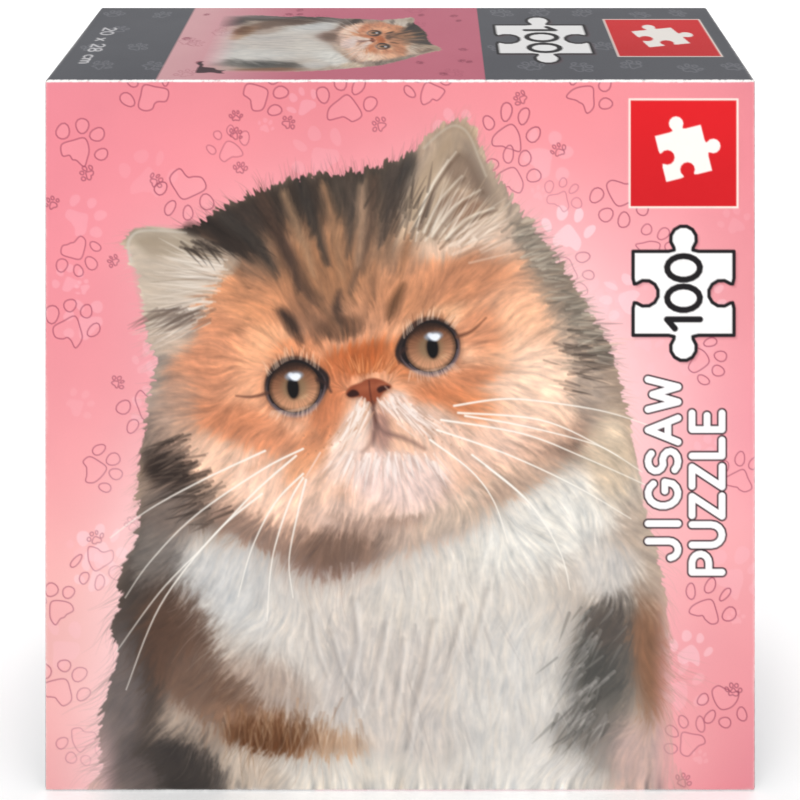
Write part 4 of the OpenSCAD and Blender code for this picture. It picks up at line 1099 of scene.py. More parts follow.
def new_mesh(name, co, quads, tris=None):
    me = bpy.data.meshes.new(name)
    me.vertices.add(len(co))
    me.vertices.foreach_set("co", np.ascontiguousarray(co, np.float32).ravel())
    nq = len(quads)
    nt = 0 if tris is None else len(tris)
    loops = np.asarray(quads, np.int32).ravel()
    starts = np.arange(nq, dtype=np.int32) * 4
    if nt:
        loops = np.concatenate([loops, np.asarray(tris, np.int32).ravel()])
        starts = np.concatenate([starts, nq * 4 + np.arange(nt, dtype=np.int32) * 3])
    me.loops.add(len(loops))
    me.loops.foreach_set("vertex_index", loops)
    me.polygons.add(nq + nt)
    me.polygons.foreach_set("loop_start", starts)
    me.update(calc_edges=True)
    me.polygons.foreach_set("use_smooth", np.ones(nq + nt, bool))
    return me


def paint(me, colours, wear_and_highlight=None):
    c = np.ones((len(me.vertices), 4), np.float32)
    c[:, :3] = colours
    at = me.attributes.new("print", "FLOAT_COLOR", "POINT")
    at.data.foreach_set("color", c.ravel())
    # fold wear, and on the front's top fold a painted white edge highlight
    at = me.attributes.new("wear_and_highlight", "FLOAT", "POINT")
    at.data.foreach_set("value", np.zeros(len(me.vertices), np.float32) if wear_and_highlight is None else np.ascontiguousarray(wear_and_highlight, np.float32).ravel())


def show(me, name, material, body):
    me.materials.append(material)
    ob = bpy.data.objects.new(name, me)
    bpy.context.scene.collection.objects.link(ob)
    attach(ob, body)
    return ob


def slab(name, P, D, colours, wear_and_highlight, depth, material, body):
    """A thin closed sheet: a fine grid P with outward directions D, and a plain underside depth below it."""
    n, m = P.shape[:2]
    idx = np.arange(n * m).reshape(n, m)
    quads = np.stack([idx[:-1, :-1], idx[:-1, 1:], idx[1:, 1:], idx[1:, :-1]], -1).reshape(-1, 4)
    ring = np.concatenate([idx[0, :-1], idx[:-1, -1], idx[-1, :0:-1], idx[:0:-1, 0]])
    flat_p, flat_d = P.reshape(-1, 3), D.reshape(-1, 3)
    base = n * m
    under = flat_p[ring] - flat_d[ring] * depth
    mid = (P[n // 2, m // 2] - D[n // 2, m // 2] * depth)[None]
    r = len(ring)
    k = np.arange(r)
    k1 = (k + 1) % r
    side = np.stack([ring[k1], ring[k], base + k, base + k1], -1)
    fan = np.stack([base + k1, base + k, np.full(r, base + r)], -1)
    a, b, c = P[n // 2, m // 2], P[n // 2, m // 2 + 1], P[n // 2 + 1, m // 2]
    if np.dot(np.cross(b - a, c - a), D[n // 2, m // 2]) < 0:
        quads, side, fan = quads[:, ::-1], side[:, ::-1], fan[:, ::-1]
    co = np.concatenate([flat_p, under, mid])
    me = new_mesh(name, co, np.concatenate([quads, side]), fan)
    col = np.concatenate([colours.reshape(-1, 3), np.full((r + 1, 3), 0.78, np.float32)])
    wr = np.concatenate([wear_and_highlight.reshape(-1), np.zeros(r + 1)])
    paint(me, col, wr)
    nrm = np.concatenate([flat_d, -flat_d[ring], -D[n // 2, m // 2][None]])
    me.normals_split_custom_set_from_vertices(nrm.tolist())
    return show(me, name, material, body)


def rounded(P, lo, hi, r):
    """Points of a sharp box moved onto the same box with edges of radius r, and their outward directions."""
    C = np.clip(P, lo + r, hi - r)
    d = P - C
    ln = np.linalg.norm(d, axis=-1, keepdims=True)
    d = d / np.maximum(ln, 1e-9)
    return C + d * r, d


# ------------------------------------------------------------------ materials
def material(name):
    m = bpy.data.materials.new(name)
    m.use_nodes = True
    t = m.node_tree
    b = t.nodes["Principled BSDF"] if "Principled BSDF" in t.nodes else t.nodes.new("ShaderNodeBsdfPrincipled")
    return m, t, b


def node(t, kind, **values):
    n = t.nodes.new("ShaderNode" + kind)
    for key, val in values.items():
        if key.startswith("i_"):
            n.inputs[key[2:].replace("_", " ")].default_value = val
        else:
            setattr(n, key, val)
    return n


def coords(t):
    return t.nodes.new("ShaderNodeTexCoord").outputs["Object"]


def noise(t, co, scale, detail=3.0, rough=0.5, stretch=None):
    if stretch:
        mp = node(t, "Mapping")
        mp.inputs["Scale"].default_value = stretch
        t.links.new(co, mp.inputs["Vector"])
        co = mp.outputs["Vector"]
    n = node(t, "TexNoise")
    n.inputs["Scale"].default_value = scale
    n.inputs["Detail"].default_value = detail
    n.inputs["Roughness"].default_value = rough
    t.links.new(co, n.inputs["Vector"])
    return n.outputs["Fac"]


def span(t, value, a, b, lo=0.0, hi=1.0):
    n = node(t, "MapRange")
    n.inputs["From Min"].default_value = a
    n.inputs["From Max"].default_value = b
    n.inputs["To Min"].default_value = lo
    n.inputs["To Max"].default_value = hi
    t.links.new(value, n.inputs["Value"])
    return n.outputs["Result"]


def math_node(t, op, a, b):
    n = node(t, "Math", operation=op)
    for i, v in enumerate((a, b)):
        if isinstance(v, (int, float)):
            n.inputs[i].default_value = v
        else:
            t.links.new(v, n.inputs[i])
    return n.outputs[0]


def mix(t, fac, a, b, kind="MIX"):
    n = node(t, "Mix", data_type="RGBA", blend_type=kind)
    for sock, v in ((n.inputs[0], fac), (n.inputs[6], a), (n.inputs[7], b)):
        if isinstance(v, (int, float)):
            sock.default_value = v
        elif isinstance(v, tuple):
            sock.default_value = v + (1.0,) if len(v) == 3 else v
        else:
            t.links.new(v, sock)
    return n.outputs[2]


def bump(t, height, strength, distance, after=None):
    n = node(t, "Bump")
    n.inputs["Strength"].default_value = strength
    n.inputs["Distance"].default_value = distance
    t.links.new(height, n.inputs["Height"])
    if after is not None:
        t.links.new(after, n.inputs["Normal"])
    return n.outputs["Normal"]


def printed_material(name, gloss=0.40, coat=0.0, grain=1.0):
    """Varnished printed paper: ink from the print attribute, fibres showing where the folds are scuffed, and a painted
    white edge highlight on the front's top fold in the same pale mix.
    """
    m, t, b = material(name)
    ink = node(t, "Attribute", attribute_name="print")
    wear_highlight_attr = node(t, "Attribute", attribute_name="wear_and_highlight")
    co = coords(t)
    blotch = noise(t, co, 38.0, 3.0, 0.55)
    fibre = noise(t, co, 900.0, 4.0, 0.6)
    speck = noise(t, co, 2600.0, 2.0, 0.6)
    tint = mix(t, span(t, blotch, 0.35, 0.65, 0.0, 1.0), ink.outputs["Color"], mix(t, 1.0, ink.outputs["Color"], (0.955, 0.95, 0.955), "MULTIPLY"))
    tint = mix(t, span(t, speck, 0.35, 0.7, 0.0, 0.10 * grain), tint, mix(t, 1.0, tint, (0.86, 0.86, 0.86), "MULTIPLY"))
    worn_and_highlight = math_node(t, "MULTIPLY", wear_highlight_attr.outputs["Fac"], span(t, fibre, 0.36, 0.60, 0.35, 1.25))
    worn_and_highlight = math_node(t, "MINIMUM", worn_and_highlight, 1.0)
    # pale mix: rubbed fibres on the folds, and a painted white edge highlight on the front's top fold
    colour = mix(t, worn_and_highlight, tint, (0.93, 0.91, 0.89))
    t.links.new(colour, b.inputs["Base Color"])
    rough = math_node(t, "ADD", span(t, blotch, 0.3, 0.7, gloss - 0.03, gloss + 0.05), math_node(t, "MULTIPLY", worn_and_highlight, 0.35))
    rough = math_node(t, "ADD", rough, span(t, speck, 0.3, 0.7, -0.03, 0.03))
    t.links.new(rough, b.inputs["Roughness"])
    b.inputs["Specular IOR Level"].default_value = 0.14
    b.inputs["Coat Weight"].default_value = coat
    b.inputs["Coat Roughness"].default_value = 0.22
    n1 = bump(t, noise(t, co, 9.0, 2.0, 0.5), 0.10, 0.0012)
    n2 = bump(t, fibre, 0.10, 0.00006, n1)
    n3 = bump(t, worn_and_highlight, 0.25, 0.00008, n2)
    t.links.new(n3, b.inputs["Normal"])
    return m


def board_material():
    """Recycled grey board: felted fibres and flecks."""
    m, t, b = material("grey_board")
    co = coords(t)
    felt = noise(t, co, 260.0, 6.0, 0.7)
    fleck = noise(t, co, 900.0, 2.0, 0.5)
    wide = noise(t, co, 24.0, 3.0, 0.5)
    c = mix(t, span(t, felt, 0.3, 0.7), (0.27, 0.245, 0.205), (0.40, 0.37, 0.315))
    c = mix(t, span(t, wide, 0.3, 0.7, 0.0, 0.35), c, (0.34, 0.33, 0.30))
    c = mix(t, span(t, fleck, 0.66, 0.74, 0.0, 0.8), c, (0.10, 0.09, 0.08))
    t.links.new(c, b.inputs["Base Color"])
    t.links.new(span(t, felt, 0.3, 0.7, 0.82, 0.96), b.inputs["Roughness"])
    b.inputs["Specular IOR Level"].default_value = 0.25
    t.links.new(bump(t, felt, 0.35, 0.00015), b.inputs["Normal"])
    return m


def tape_material():
    """Gummed kraft tape."""
    m, t, b = material("corner_tape")
    co = coords(t)
    fibre = noise(t, co, 420.0, 5.0, 0.65, (1.0, 1.0, 0.25))
    c = mix(t, span(t, fibre, 0.3, 0.7), (0.42, 0.29, 0.16), (0.60, 0.45, 0.28))
    t.links.new(c, b.inputs["Base Color"])
    t.links.new(span(t, fibre, 0.3, 0.7, 0.55, 0.75), b.inputs["Roughness"])
    t.links.new(bump(t, fibre, 0.25, 0.0001), b.inputs["Normal"])
    return m


def film_material():
    """Thin clear film: barely tinted, with fine creases."""
    m, t, b = material("clear_film")
    co = coords(t)
    crease = noise(t, co, 55.0, 4.0, 0.55, (1.0, 1.0, 0.6))
    fine = noise(t, co, 420.0, 2.0, 0.5)
    c = mix(t, span(t, crease, 0.3, 0.7), (0.90, 0.93, 0.95), (0.98, 0.99, 1.0))
    t.links.new(c, b.inputs["Base Color"])
    t.links.new(span(t, crease, 0.3, 0.7, 0.06, 0.16), b.inputs["Roughness"])
    b.inputs["Specular IOR Level"].default_value = 0.6
    edge = node(t, "LayerWeight")
    edge.inputs["Blend"].default_value = 0.28
    seam = node(t, "Attribute", attribute_name="wear_and_highlight")
    alpha = math_node(t, "ADD", span(t, edge.outputs["Facing"], 0.0, 1.0, 0.10, 0.62),
                      math_node(t, "MULTIPLY", seam.outputs["Fac"], 0.35))
    t.links.new(alpha, b.inputs["Alpha"])
    n1 = bump(t, crease, 0.30, 0.0006)
    t.links.new(bump(t, fine, 0.08, 0.0001, n1), b.inputs["Normal"])
    return m


def floor_material():
    m, t, b = material("floor_paper")
    co = coords(t)
    soft = noise(t, co, 3.0, 3.0, 0.5)
    c = mix(t, span(t, soft, 0.3, 0.7), FLOOR_LOW, FLOOR_HIGH)
    t.links.new(c, b.inputs["Base Color"])
    t.links.new(span(t, noise(t, co, 160.0, 3.0, 0.6), 0.3, 0.7, 0.86, 0.95), b.inputs["Roughness"])
    b.inputs["Emission Color"].default_value = (1, 1, 1, 1)
    away = node(t, "VectorMath", operation="LENGTH")
    t.links.new(co, away.inputs[0])
    t.links.new(span(t, away.outputs["Value"], 0.45, 1.8, 0.17, 0.46), b.inputs["Emission Strength"])
    b.inputs["Specular IOR Level"].default_value = 0.1
    return m


FLOOR_LOW = (0.945, 0.945, 0.948)
FLOOR_HIGH = (0.965, 0.965, 0.965)
PAPER = printed_material("printed_paper")
TRAY_PAPER = printed_material("tray_paper", 0.44)
PIECE_FACE = printed_material("puzzle_print", 0.38)
BOARD = board_material()
TAPE = tape_material()
FILM = film_material()

for cad, mat in (("lid_board", BOARD), ("tray_board", BOARD), ("lid_corner_stays", TAPE), ("tray_corner_stays", TAPE)):
    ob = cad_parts[cad]
    ob.data.materials.clear()
    ob.data.materials.append(mat)

# ------------------------------------------------------------------ the painting
K = 2.16
front = paint_front(K)
side = paint_side(front, front.mask, 1.44)
back = paint_back(front, front.mask, 1.15)
plain_side = paint_tray_side(0.9)
FRONT = linear(shrink(front.a))
SIDE = linear(side.a)
BACK = linear(shrink(back.a))
PLAIN = linear(plain_side.a)

# ------------------------------------------------------------------ lid paper
lo_v, hi_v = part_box("lid_wrap")
LO = np.array((lo_v.x, lo_v.y, lo_v.z), np.float64)
HI = np.array((hi_v.x, hi_v.y, hi_v.z), np.float64)
W, T, H = HI - LO
R = 0.6 * MM                       # fold radius of the papered board
HI_OPEN = HI + np.array((0, 0.05, 0))
RIM = HI[1] - 0.5 * MM             # where the walls' paper starts to turn over the rim
PAPER_T = 0.2 * MM
rnd = np.random.RandomState(7)


def fold_wear_and_highlight(d_list, shape, seed, level):
    """How far the print is scuffed off, from the distance to each fold; on the front's top fold the pale mark is mostly
    a painted white edge highlight, laid over some scuffing.
    """
    out = np.zeros(shape, np.float32)
    n = soft_noise(shape[0], shape[1], 26, seed)
    for d, amount in d_list:
        # amounts over 1.5 mark the front's top fold, where this paints a white edge highlight over some real wear
        crisp = amount > 1.5           # the front's top fold, a clean white line in the photo
        reach = (0.00027 if crisp else 0.00036) * (1 + (0.06 if crisp else 0.18) * n)
        out = np.maximum(out, amount * np.exp(-(d / reach) ** 2))
    return np.clip(out * level, 0, 2.6)


def lid_face(name, us, vs, where, canvas, uv, edges, seed):
    U, V = np.meshgrid(us, vs, indexing="ij")
    P = where(U, V)
    Q, D = rounded(P, LO, HI_OPEN, R)
    cu, cv = uv(U, V)
    col = sample(canvas, cu, cv)
    wear_and_highlight = fold_wear_and_highlight([(f(P), amount) for f, amount in edges], U.shape, seed, 1.0)
    ob = slab(name, Q, D, col, wear_and_highlight, PAPER_T, PAPER, "lid")
    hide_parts("lid_wrap")
    return ob


def even(a, b, n):
    return a + (b - a) * np.linspace(0, 1, n + 1)


top_d = lambda P: HI[2] - P[..., 2]
low_d = lambda P: P[..., 2] - LO[2]
left_d = lambda P: P[..., 0] - LO[0]
right_d = lambda P: HI[0] - P[..., 0]
front_d = lambda P: P[..., 1] - LO[1]

N = 816
tile = N // 3
xs, zs = even(LO[0], HI[0], N), even(LO[2], HI[2], N)
# 2.6 on the top fold paints a white edge highlight there, over some wear; the smaller amounts are wear on the other
# folds
for a in range(3):
    for c in range(3):
        lid_face(
            f"lid_picture_{c * 3 + a + 1}", xs[a * tile:(a + 1) * tile + 1], zs[c * tile:(c + 1) * tile + 1],
            lambda U, V: np.stack([U, np.full_like(U, LO[1]), V], -1),
            FRONT, lambda U, V: ((U - LO[0]) / W, (HI[2] - V) / H),
            [(top_d, 2.6), (left_d, 0.30), (right_d, 0.30), (low_d, 0.45)], 40 + a + 3 * c)

nl, nd = ((512, 152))
ys = even(LO[1], RIM, nd)
DEPTH = HI[1] - LO[1]
# the top's print is darkened to 0.72 as painted shade against the bright top lamp; its 2.6 on the front fold paints the
# white edge highlight
lid_face("lid_top_print", even(LO[0], HI[0], nl), ys,
         lambda U, V: np.stack([U, V, np.full_like(U, HI[2])], -1),
         SIDE * 0.72, lambda U, V: ((U - LO[0]) / W, (HI[1] - V) / DEPTH),
         [(front_d, 2.6), (left_d, 0.5), (right_d, 0.5)], 61)
nl2, nd2 = ((448, 132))
ys2 = even(LO[1], RIM, nd2)
lid_face("lid_bottom_print", even(LO[0], HI[0], nl2), ys2,
         lambda U, V: np.stack([U, V, np.full_like(U, LO[2])], -1),
         SIDE, lambda U, V: ((HI[0] - U) / W, (HI[1] - V) / DEPTH),
         [(front_d, 0.6), (left_d, 0.6), (right_d, 0.6)], 62)
lid_face("lid_left_print", even(LO[2], HI[2], nl2), ys2,
         lambda U, V: np.stack([np.full_like(U, LO[0]), V, U], -1),
         SIDE, lambda U, V: ((U - LO[2]) / H, (HI[1] - V) / DEPTH),
         [(front_d, 0.35), (top_d, 0.5), (low_d, 0.6)], 63)
lid_face("lid_right_print", even(LO[2], HI[2], nl2), ys2,
         lambda U, V: np.stack([np.full_like(U, HI[0]), V, U], -1),
         SIDE, lambda U, V: ((U - LO[2]) / H, (V - LO[1]) / DEPTH),
         [(front_d, 0.35), (top_d, 0.5), (low_d, 0.6)], 64)


# ------------------------------------------------------------------ paper swept round the walls
def swept_ring(name, profile, centre_z, per_side, colour_of, wear_of, depth, corner_of, material, body, sign):
    """A closed strip of paper swept round the four walls. profile is (half size, y, outward in the plane, outward in y)."""
    prof = np.array(profile, float)
    inner = prof.copy()
    inner[:, 0] -= prof[:, 2] * depth
    inner[:, 1] -= prof[:, 3] * depth
    inner[:, 2:] *= -1
    loop = np.concatenate([prof, inner[::-1]])
    n = len(loop)
    arcs = 5
    t = np.linspace(-1, 1, per_side + 1)
    rows, where = [], []
    for q in range(4):
        ang = q * math.pi / 2
        c, s = math.cos(ang), math.sin(ang)
        for v in t:                        # along the wall
            rows.append((q, v, None))
        for a in np.linspace(0, math.pi / 2, arcs)[1:-1]:
            rows.append((q, None, a))
    out = np.zeros((len(rows), n, 3))
    place = np.zeros((len(rows), 2))
    for i, (q, v, a) in enumerate(rows):
        h = loop[:, 0]
        rc = corner_of(h)
        if a is None:
            x, z = np.full(n, 1.0) * h, v * (h - rc)
        else:
            x, z = (h - rc) + rc * math.cos(a), (h - rc) + rc * math.sin(a)
        for _ in range(q):
            x, z = -z, x
        out[i, :, 0], out[i, :, 1], out[i, :, 2] = x, loop[:, 1], z + centre_z
        place[i] = q, (v if a is None else 1.0)
    idx = np.arange(len(rows) * n).reshape(len(rows), n)
    nxt = np.roll(idx, -1, 0)
    quads = np.stack([idx, nxt, np.roll(nxt, -1, 1), np.roll(idx, -1, 1)], -1).reshape(-1, 4)
    co = out.reshape(-1, 3)
    mid = n // 4
    a, b, c = out[per_side // 2, mid], out[per_side // 2 + 1, mid], out[per_side // 2, mid + 1]
    nrm = np.cross(b - a, c - a)
    want = np.array((loop[mid, 2], loop[mid, 3], 0))
    if np.dot(nrm, want) < 0:
        quads = quads[:, ::-1]
    me = new_mesh(name, co, quads)
    col = np.full((len(rows), n, 3), 0.78, np.float32)
    wear_and_highlight = np.zeros((len(rows), n), np.float32)
    m = len(prof)
    col[:, :m] = colour_of(place, prof)
    wear_and_highlight[:, :m] = wear_of(place, prof)
    paint(me, col.reshape(-1, 3), wear_and_highlight)
    sharp = np.zeros((len(rows), n), bool)
    sharp[:, 0] = sharp[:, m - 1] = sharp[:, m] = sharp[:, n - 1] = True
    ev = np.zeros(len(me.edges) * 2, np.int32)
    me.edges.foreach_get("vertices", ev)
    ev = ev.reshape(-1, 2) % n
    along = (ev[:, 0] == ev[:, 1]) & np.isin(ev[:, 0], (0, m - 1, m, n - 1))
    at = me.attributes.new("sharp_edge", "BOOLEAN", "EDGE")
    at.data.foreach_set("value", along)
    return show(me, name, material, body)


def turned(outer, rim, inner, end, start, sign, r, steps_in, start_rows=None):
    """Profile from the outer wall over the rim and down inside; sign is the rim's side along y."""
    p = []
    for y in (start_rows if start_rows is not None else [start]):
        p.append((outer, y, 1.0, 0.0))
    for a in np.linspace(0, math.pi / 2, 6):
        p.append((outer - r + r * math.cos(a), rim - sign * (r - r * math.sin(a)), math.cos(a), sign * math.sin(a)))
    for a in np.linspace(math.pi / 2, math.pi, 6):
        p.append((inner + r + r * math.cos(a), rim - sign * (r - r * math.sin(a)), math.cos(a), sign * math.sin(a)))
    y0 = rim - sign * r
    for k in range(1, steps_in + 1):
        p.append((inner, y0 + (end - y0) * k / steps_in, -1.0, 0.0))
    return p


mid_z = (LO[2] + HI[2]) / 2
half = W / 2
board_lo, board_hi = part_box("lid_board")
LID_IN = board_hi.x - 1.2 * MM - PAPER_T
LID_END = HI[1] - 13 * MM


def lid_ring_colour(place, prof):
    """The bleed of the walls' print, carried over the rim."""
    q, v = place[:, 0], place[:, 1]
    f = (v + 1) / 2
    u = np.where(q == 0, f, np.where(q == 1, 1 - f, np.where(q == 2, 1 - f, f)))
    # walls in order: right, top, left, bottom
    cu = np.where(q == 0, u, np.where(q == 1, u, np.where(q == 2, u, 1 - u)))
    cv = np.where(q == 0, 0.992, 0.008)
    c = sample(SIDE, cu[:, None] + 0 * prof[None, :, 0], cv[:, None] + 0 * prof[None, :, 0])
    return c


def lid_ring_wear(place, prof):
    on_rim = np.exp(-((prof[:, 1] - HI[1]) / 0.00022) ** 2)
    n = np.sin(np.arange(len(place)) * 0.37) * 0.5
    return np.clip((0.14 + 0.08 * n)[:, None] * on_rim[None], 0, 1)


def lid_corner(h):
    return np.maximum(h - (half - R), 0.06 * MM)


ring = swept_ring("lid_paper_turn_in", turned(half, HI[1], LID_IN, LID_END, RIM, 1.0, 0.5 * MM, 8), mid_z, 288,
                  lid_ring_colour, lid_ring_wear, PAPER_T, lid_corner, PAPER, "lid", 1.0)
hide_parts("lid_wrap")

# ------------------------------------------------------------------ tray paper
tlo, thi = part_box("tray_wrap")
TLO, THI = np.array(tlo[:], float), np.array(thi[:], float)
t_half = (THI[0] - TLO[0]) / 2
t_mid = (TLO[2] + THI[2]) / 2
T_RIM, T_BACK = TLO[1], THI[1]
tray_board_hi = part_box("tray_board")[1]
T_IN = tray_board_hi.x - 1.2 * MM - PAPER_T
T_OPEN = TLO - np.array((0, 0.05, 0))
nb = 384
bx, bz = even(TLO[0], THI[0], nb), even(TLO[2], THI[2], nb)
for a in range(2):
    U, V = np.meshgrid(bx[a * nb // 2:(a + 1) * nb // 2 + 1], bz, indexing="ij")
    P = np.stack([U, np.full_like(U, T_BACK), V], -1)
    Q, D = rounded(P, T_OPEN, THI, R)
    col = sample(BACK, (THI[0] - U) / (2 * t_half), (THI[2] - V) / (2 * t_half))
    wear_and_highlight = fold_wear_and_highlight([(U - TLO[0], .45), (THI[0] - U, .45), (THI[2] - V, .45), (V - TLO[2], .5)], U.shape, 90 + a, 1.0)
    ob = slab(f"tray_back_print_{a + 1}", Q, D, col, wear_and_highlight, PAPER_T, TRAY_PAPER, "tray")
    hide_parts("tray_wrap")


def tray_colour(place, prof):
    q, v = place[:, 0], place[:, 1]
    u = ((v + 1) / 2)[:, None] + 0 * prof[None, :, 0]
    vv = (T_BACK - prof[:, 1]) / (T_BACK - T_RIM)
    inside_wall = prof[:, 2] < -0.5
    vv = np.where(inside_wall, 0.97, np.clip(vv, 0.0, 0.97))
    return sample(PLAIN, u, vv[None, :] + 0 * u)


def tray_wear(place, prof):
    on_rim = np.exp(-((prof[:, 1] - T_RIM) / 0.00022) ** 2) + 0.7 * np.exp(-((prof[:, 1] - T_BACK) / 0.0003) ** 2)
    n = np.sin(np.arange(len(place)) * 0.31) * 0.5
    return np.clip((0.14 + 0.08 * n)[:, None] * on_rim[None], 0, 1)


def tray_corner(h):
    return np.maximum(h - (t_half - R), 0.06 * MM)


# the wall's paper meets the back panel's half way round the fold
c45 = math.cos(math.pi / 4)
start = []
for a in np.linspace(math.pi / 4, 0, 4):
    start.append((t_half - R + R * math.cos(a), T_BACK - R + R * math.sin(a), math.cos(a), math.sin(a)))
rows_n = 56
body_rows = even(T_BACK - R, T_RIM + 0.5 * MM, rows_n)[1:-1]
prof_t = start + turned(t_half, T_RIM, T_IN, T_RIM + 13 * MM, None, -1.0, 0.5 * MM, 6, body_rows)
ring = swept_ring("tray_paper_walls", prof_t, t_mid, 150, tray_colour, tray_wear, PAPER_T, tray_corner,
                  TRAY_PAPER, "tray", -1.0)
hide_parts("tray_wrap")

# ------------------------------------------------------------------ the hundred pieces
FILM_T = 0.15
glo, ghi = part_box("bag_back_film")
flo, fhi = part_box("bag_front_film")
BAG_BACK, BAG_FRONT = ghi.y / MM, flo.y / MM
IN = 66.9
REACH, DX, DZ, PITCH = 14 + 2.4 * 1.94, (2 * IN - 2 * (14 + 2.4 * 1.94)) / 2.5, (2 * IN - 2 * (14 + 2.4 * 1.94)) / 3, (25.4 - 0.3 - 0.4) / 9


def turn(ax, deg):
    return Matrix.Rotation(math.radians(deg), 4, ax)


def piece_matrix(k):
    slot = (k * 37 + 11) % 100
    layer, place = slot // 12, slot % 12
    row = place // 3
    stagger = (row + layer) % 2
    x = -IN + REACH + ((place % 3) + stagger * 0.5) * DX
    z = 72.5 - IN + REACH + row * DZ
    y = BAG_BACK - FILM_T - 0.2 - (layer + 0.5) * PITCH
    m = Matrix.Translation((x, y, z)) @ turn("X", 90 + (frac_sin(k + 0.17) - 0.5) * 1.6)
    m = m @ turn("Z", 360 * frac_sin(k + 0.71)) @ turn("Y", 0 if frac_sin(k + 0.43) > 0.4 else 180)
    return m @ Matrix.Translation((0, 0, -1)), layer


def piece_arrays(k, step):
    """One die-cut piece: the printed face on a fine net whose rim rolls down, a wall and a flat underside."""
    i, j = k % 10, k // 10
    rim = np.array(outline(i, j))
    # closer points along the cut
    pts = []
    for a, b in zip(rim, np.roll(rim, -1, 0)):
        n = max(1, int(round(np.hypot(*(b - a)) / (step * 1.1))))
        for t in range(n):
            pts.append(a + (b - a) * t / n)
    rim = np.array(pts)
    m, layer = piece_matrix(k)
    gx, gy = np.meshgrid(np.arange(-13.5, 13.6, step), np.arange(-17.5, 17.6, step))
    d, _ = line_field(gx.astype(np.float32), gy.astype(np.float32), np.vstack([rim, rim[:1]]))
    ok = inside(gx, gy, rim) & (d > step * 0.55)
    inner = np.stack([gx[ok], gy[ok]], 1)
    dist = d[ok]
    nr = len(rim)
    verts = [Vector(p) for p in np.vstack([rim, inner])]
    edges = [(a, (a + 1) % nr) for a in range(nr)]
    v2, _, f2, _, _, _ = geometry.delaunay_2d_cdt(verts, edges, [list(range(nr))], 1, 1e-5)
    v2 = np.array([(p.x, p.y) for p in v2])
    if len(v2) != nr + len(inner):
        return None
    f2 = np.array([f for f in f2 if len(f) == 3])
    dd = np.concatenate([np.zeros(nr), dist])
    drop = 0.26 * np.clip(1 - dd / 0.7, 0, 1) ** 2
    top = np.column_stack([v2, 2.0 - drop])
    low = np.column_stack([rim, np.full(nr, 0.0)])
    kk = np.arange(nr)
    k1 = (kk + 1) % nr
    nt = len(top)
    wall = np.stack([kk, nt + kk, nt + k1, k1], -1)
    under_v, _, under_f, _, _, _ = geometry.delaunay_2d_cdt([Vector(p) for p in rim], edges, [list(range(nr))], 1, 1e-5)
    under = np.array([f[::-1] for f in under_f if len(f) == 3]) + nt if len(under_v) == nr else np.zeros((0, 3), int)
    co = np.concatenate([top, low])
    px = (v2[:, 0] + (i + 0.5) * 20) / 200
    py = (v2[:, 1] + (j + 0.5) * 28) / 280
    cu = (72 + px * 508 - 44.5) / 711
    col = sample(FRONT, cu, 1 - py)
    col = np.concatenate([col, np.full((nr, 3), 0.42, np.float32) * np.array((1, .95, .88), np.float32)])
    wear_and_highlight = np.concatenate([np.clip(0.5 - dd / 0.5, 0, 0.5), np.zeros(nr)])
    a, b, c = top[f2[0]]
    if np.cross(b[:2] - a[:2], c[:2] - a[:2]) < 0:
        f2 = f2[:, ::-1]
        wall, under = wall, under
    area = 0.5 * np.sum(rim[:, 0] * np.roll(rim[:, 1], -1) - np.roll(rim[:, 0], -1) * rim[:, 1])
    if area < 0:
        wall = wall[:, ::-1]
    if len(under):
        a, b, c = low[under[0] - nt]
        if np.cross(b[:2] - a[:2], c[:2] - a[:2]) > 0:
            under = under[:, ::-1]
    M = np.array(m)
    co = (np.column_stack([co, np.ones(len(co))]) @ M.T)[:, :3] * MM
    return co, wall, f2, under, col, wear_and_highlight, nr, nt


PIECE_SIDE = board_material()
PIECE_SIDE.name = "puzzle_board"
step = 0.55
for n in range(1, 51):
    name = f"piece_pair_{n:02d}"
    parts = [piece_arrays(k, step) for k in (2 * n - 2, 2 * n - 1)]
    if any(p is None for p in parts):
        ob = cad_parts[name]
        ob.data.materials.clear()
        ob.data.materials.append(PIECE_SIDE)
        print("kept as CAD:", name)
        continue
    co, quads, tris, cols, wears, slots_q, slots_t = [], [], [], [], [], [], []
    base = 0
    for c, wall, f2, under, col, wear_and_highlight, nr, nt in parts:
        co.append(c)
        quads.append(wall + base)
        tris.append(np.concatenate([f2, under]) + base)
        slots_q.append(np.ones(len(wall), np.int32))
        slots_t.append(np.concatenate([np.zeros(len(f2), np.int32), np.ones(len(under), np.int32)]))
        cols.append(col)
        wears.append(wear_and_highlight)
        base += len(c)
    me = new_mesh(name + "_print", np.concatenate(co), np.concatenate(quads), np.concatenate(tris))
    paint(me, np.concatenate(cols), np.concatenate(wears))
    me.materials.append(PIECE_FACE)
    slots = np.concatenate(slots_q + slots_t)
    me.materials.append(PIECE_SIDE)
    me.polygons.foreach_set("material_index", slots)
    me.polygons.foreach_set("use_smooth", slots == 0)
    ob = bpy.data.objects.new(name + "_print", me)
    bpy.context.scene.collection.objects.link(ob)
    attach(ob, "bag")
    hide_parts(name)


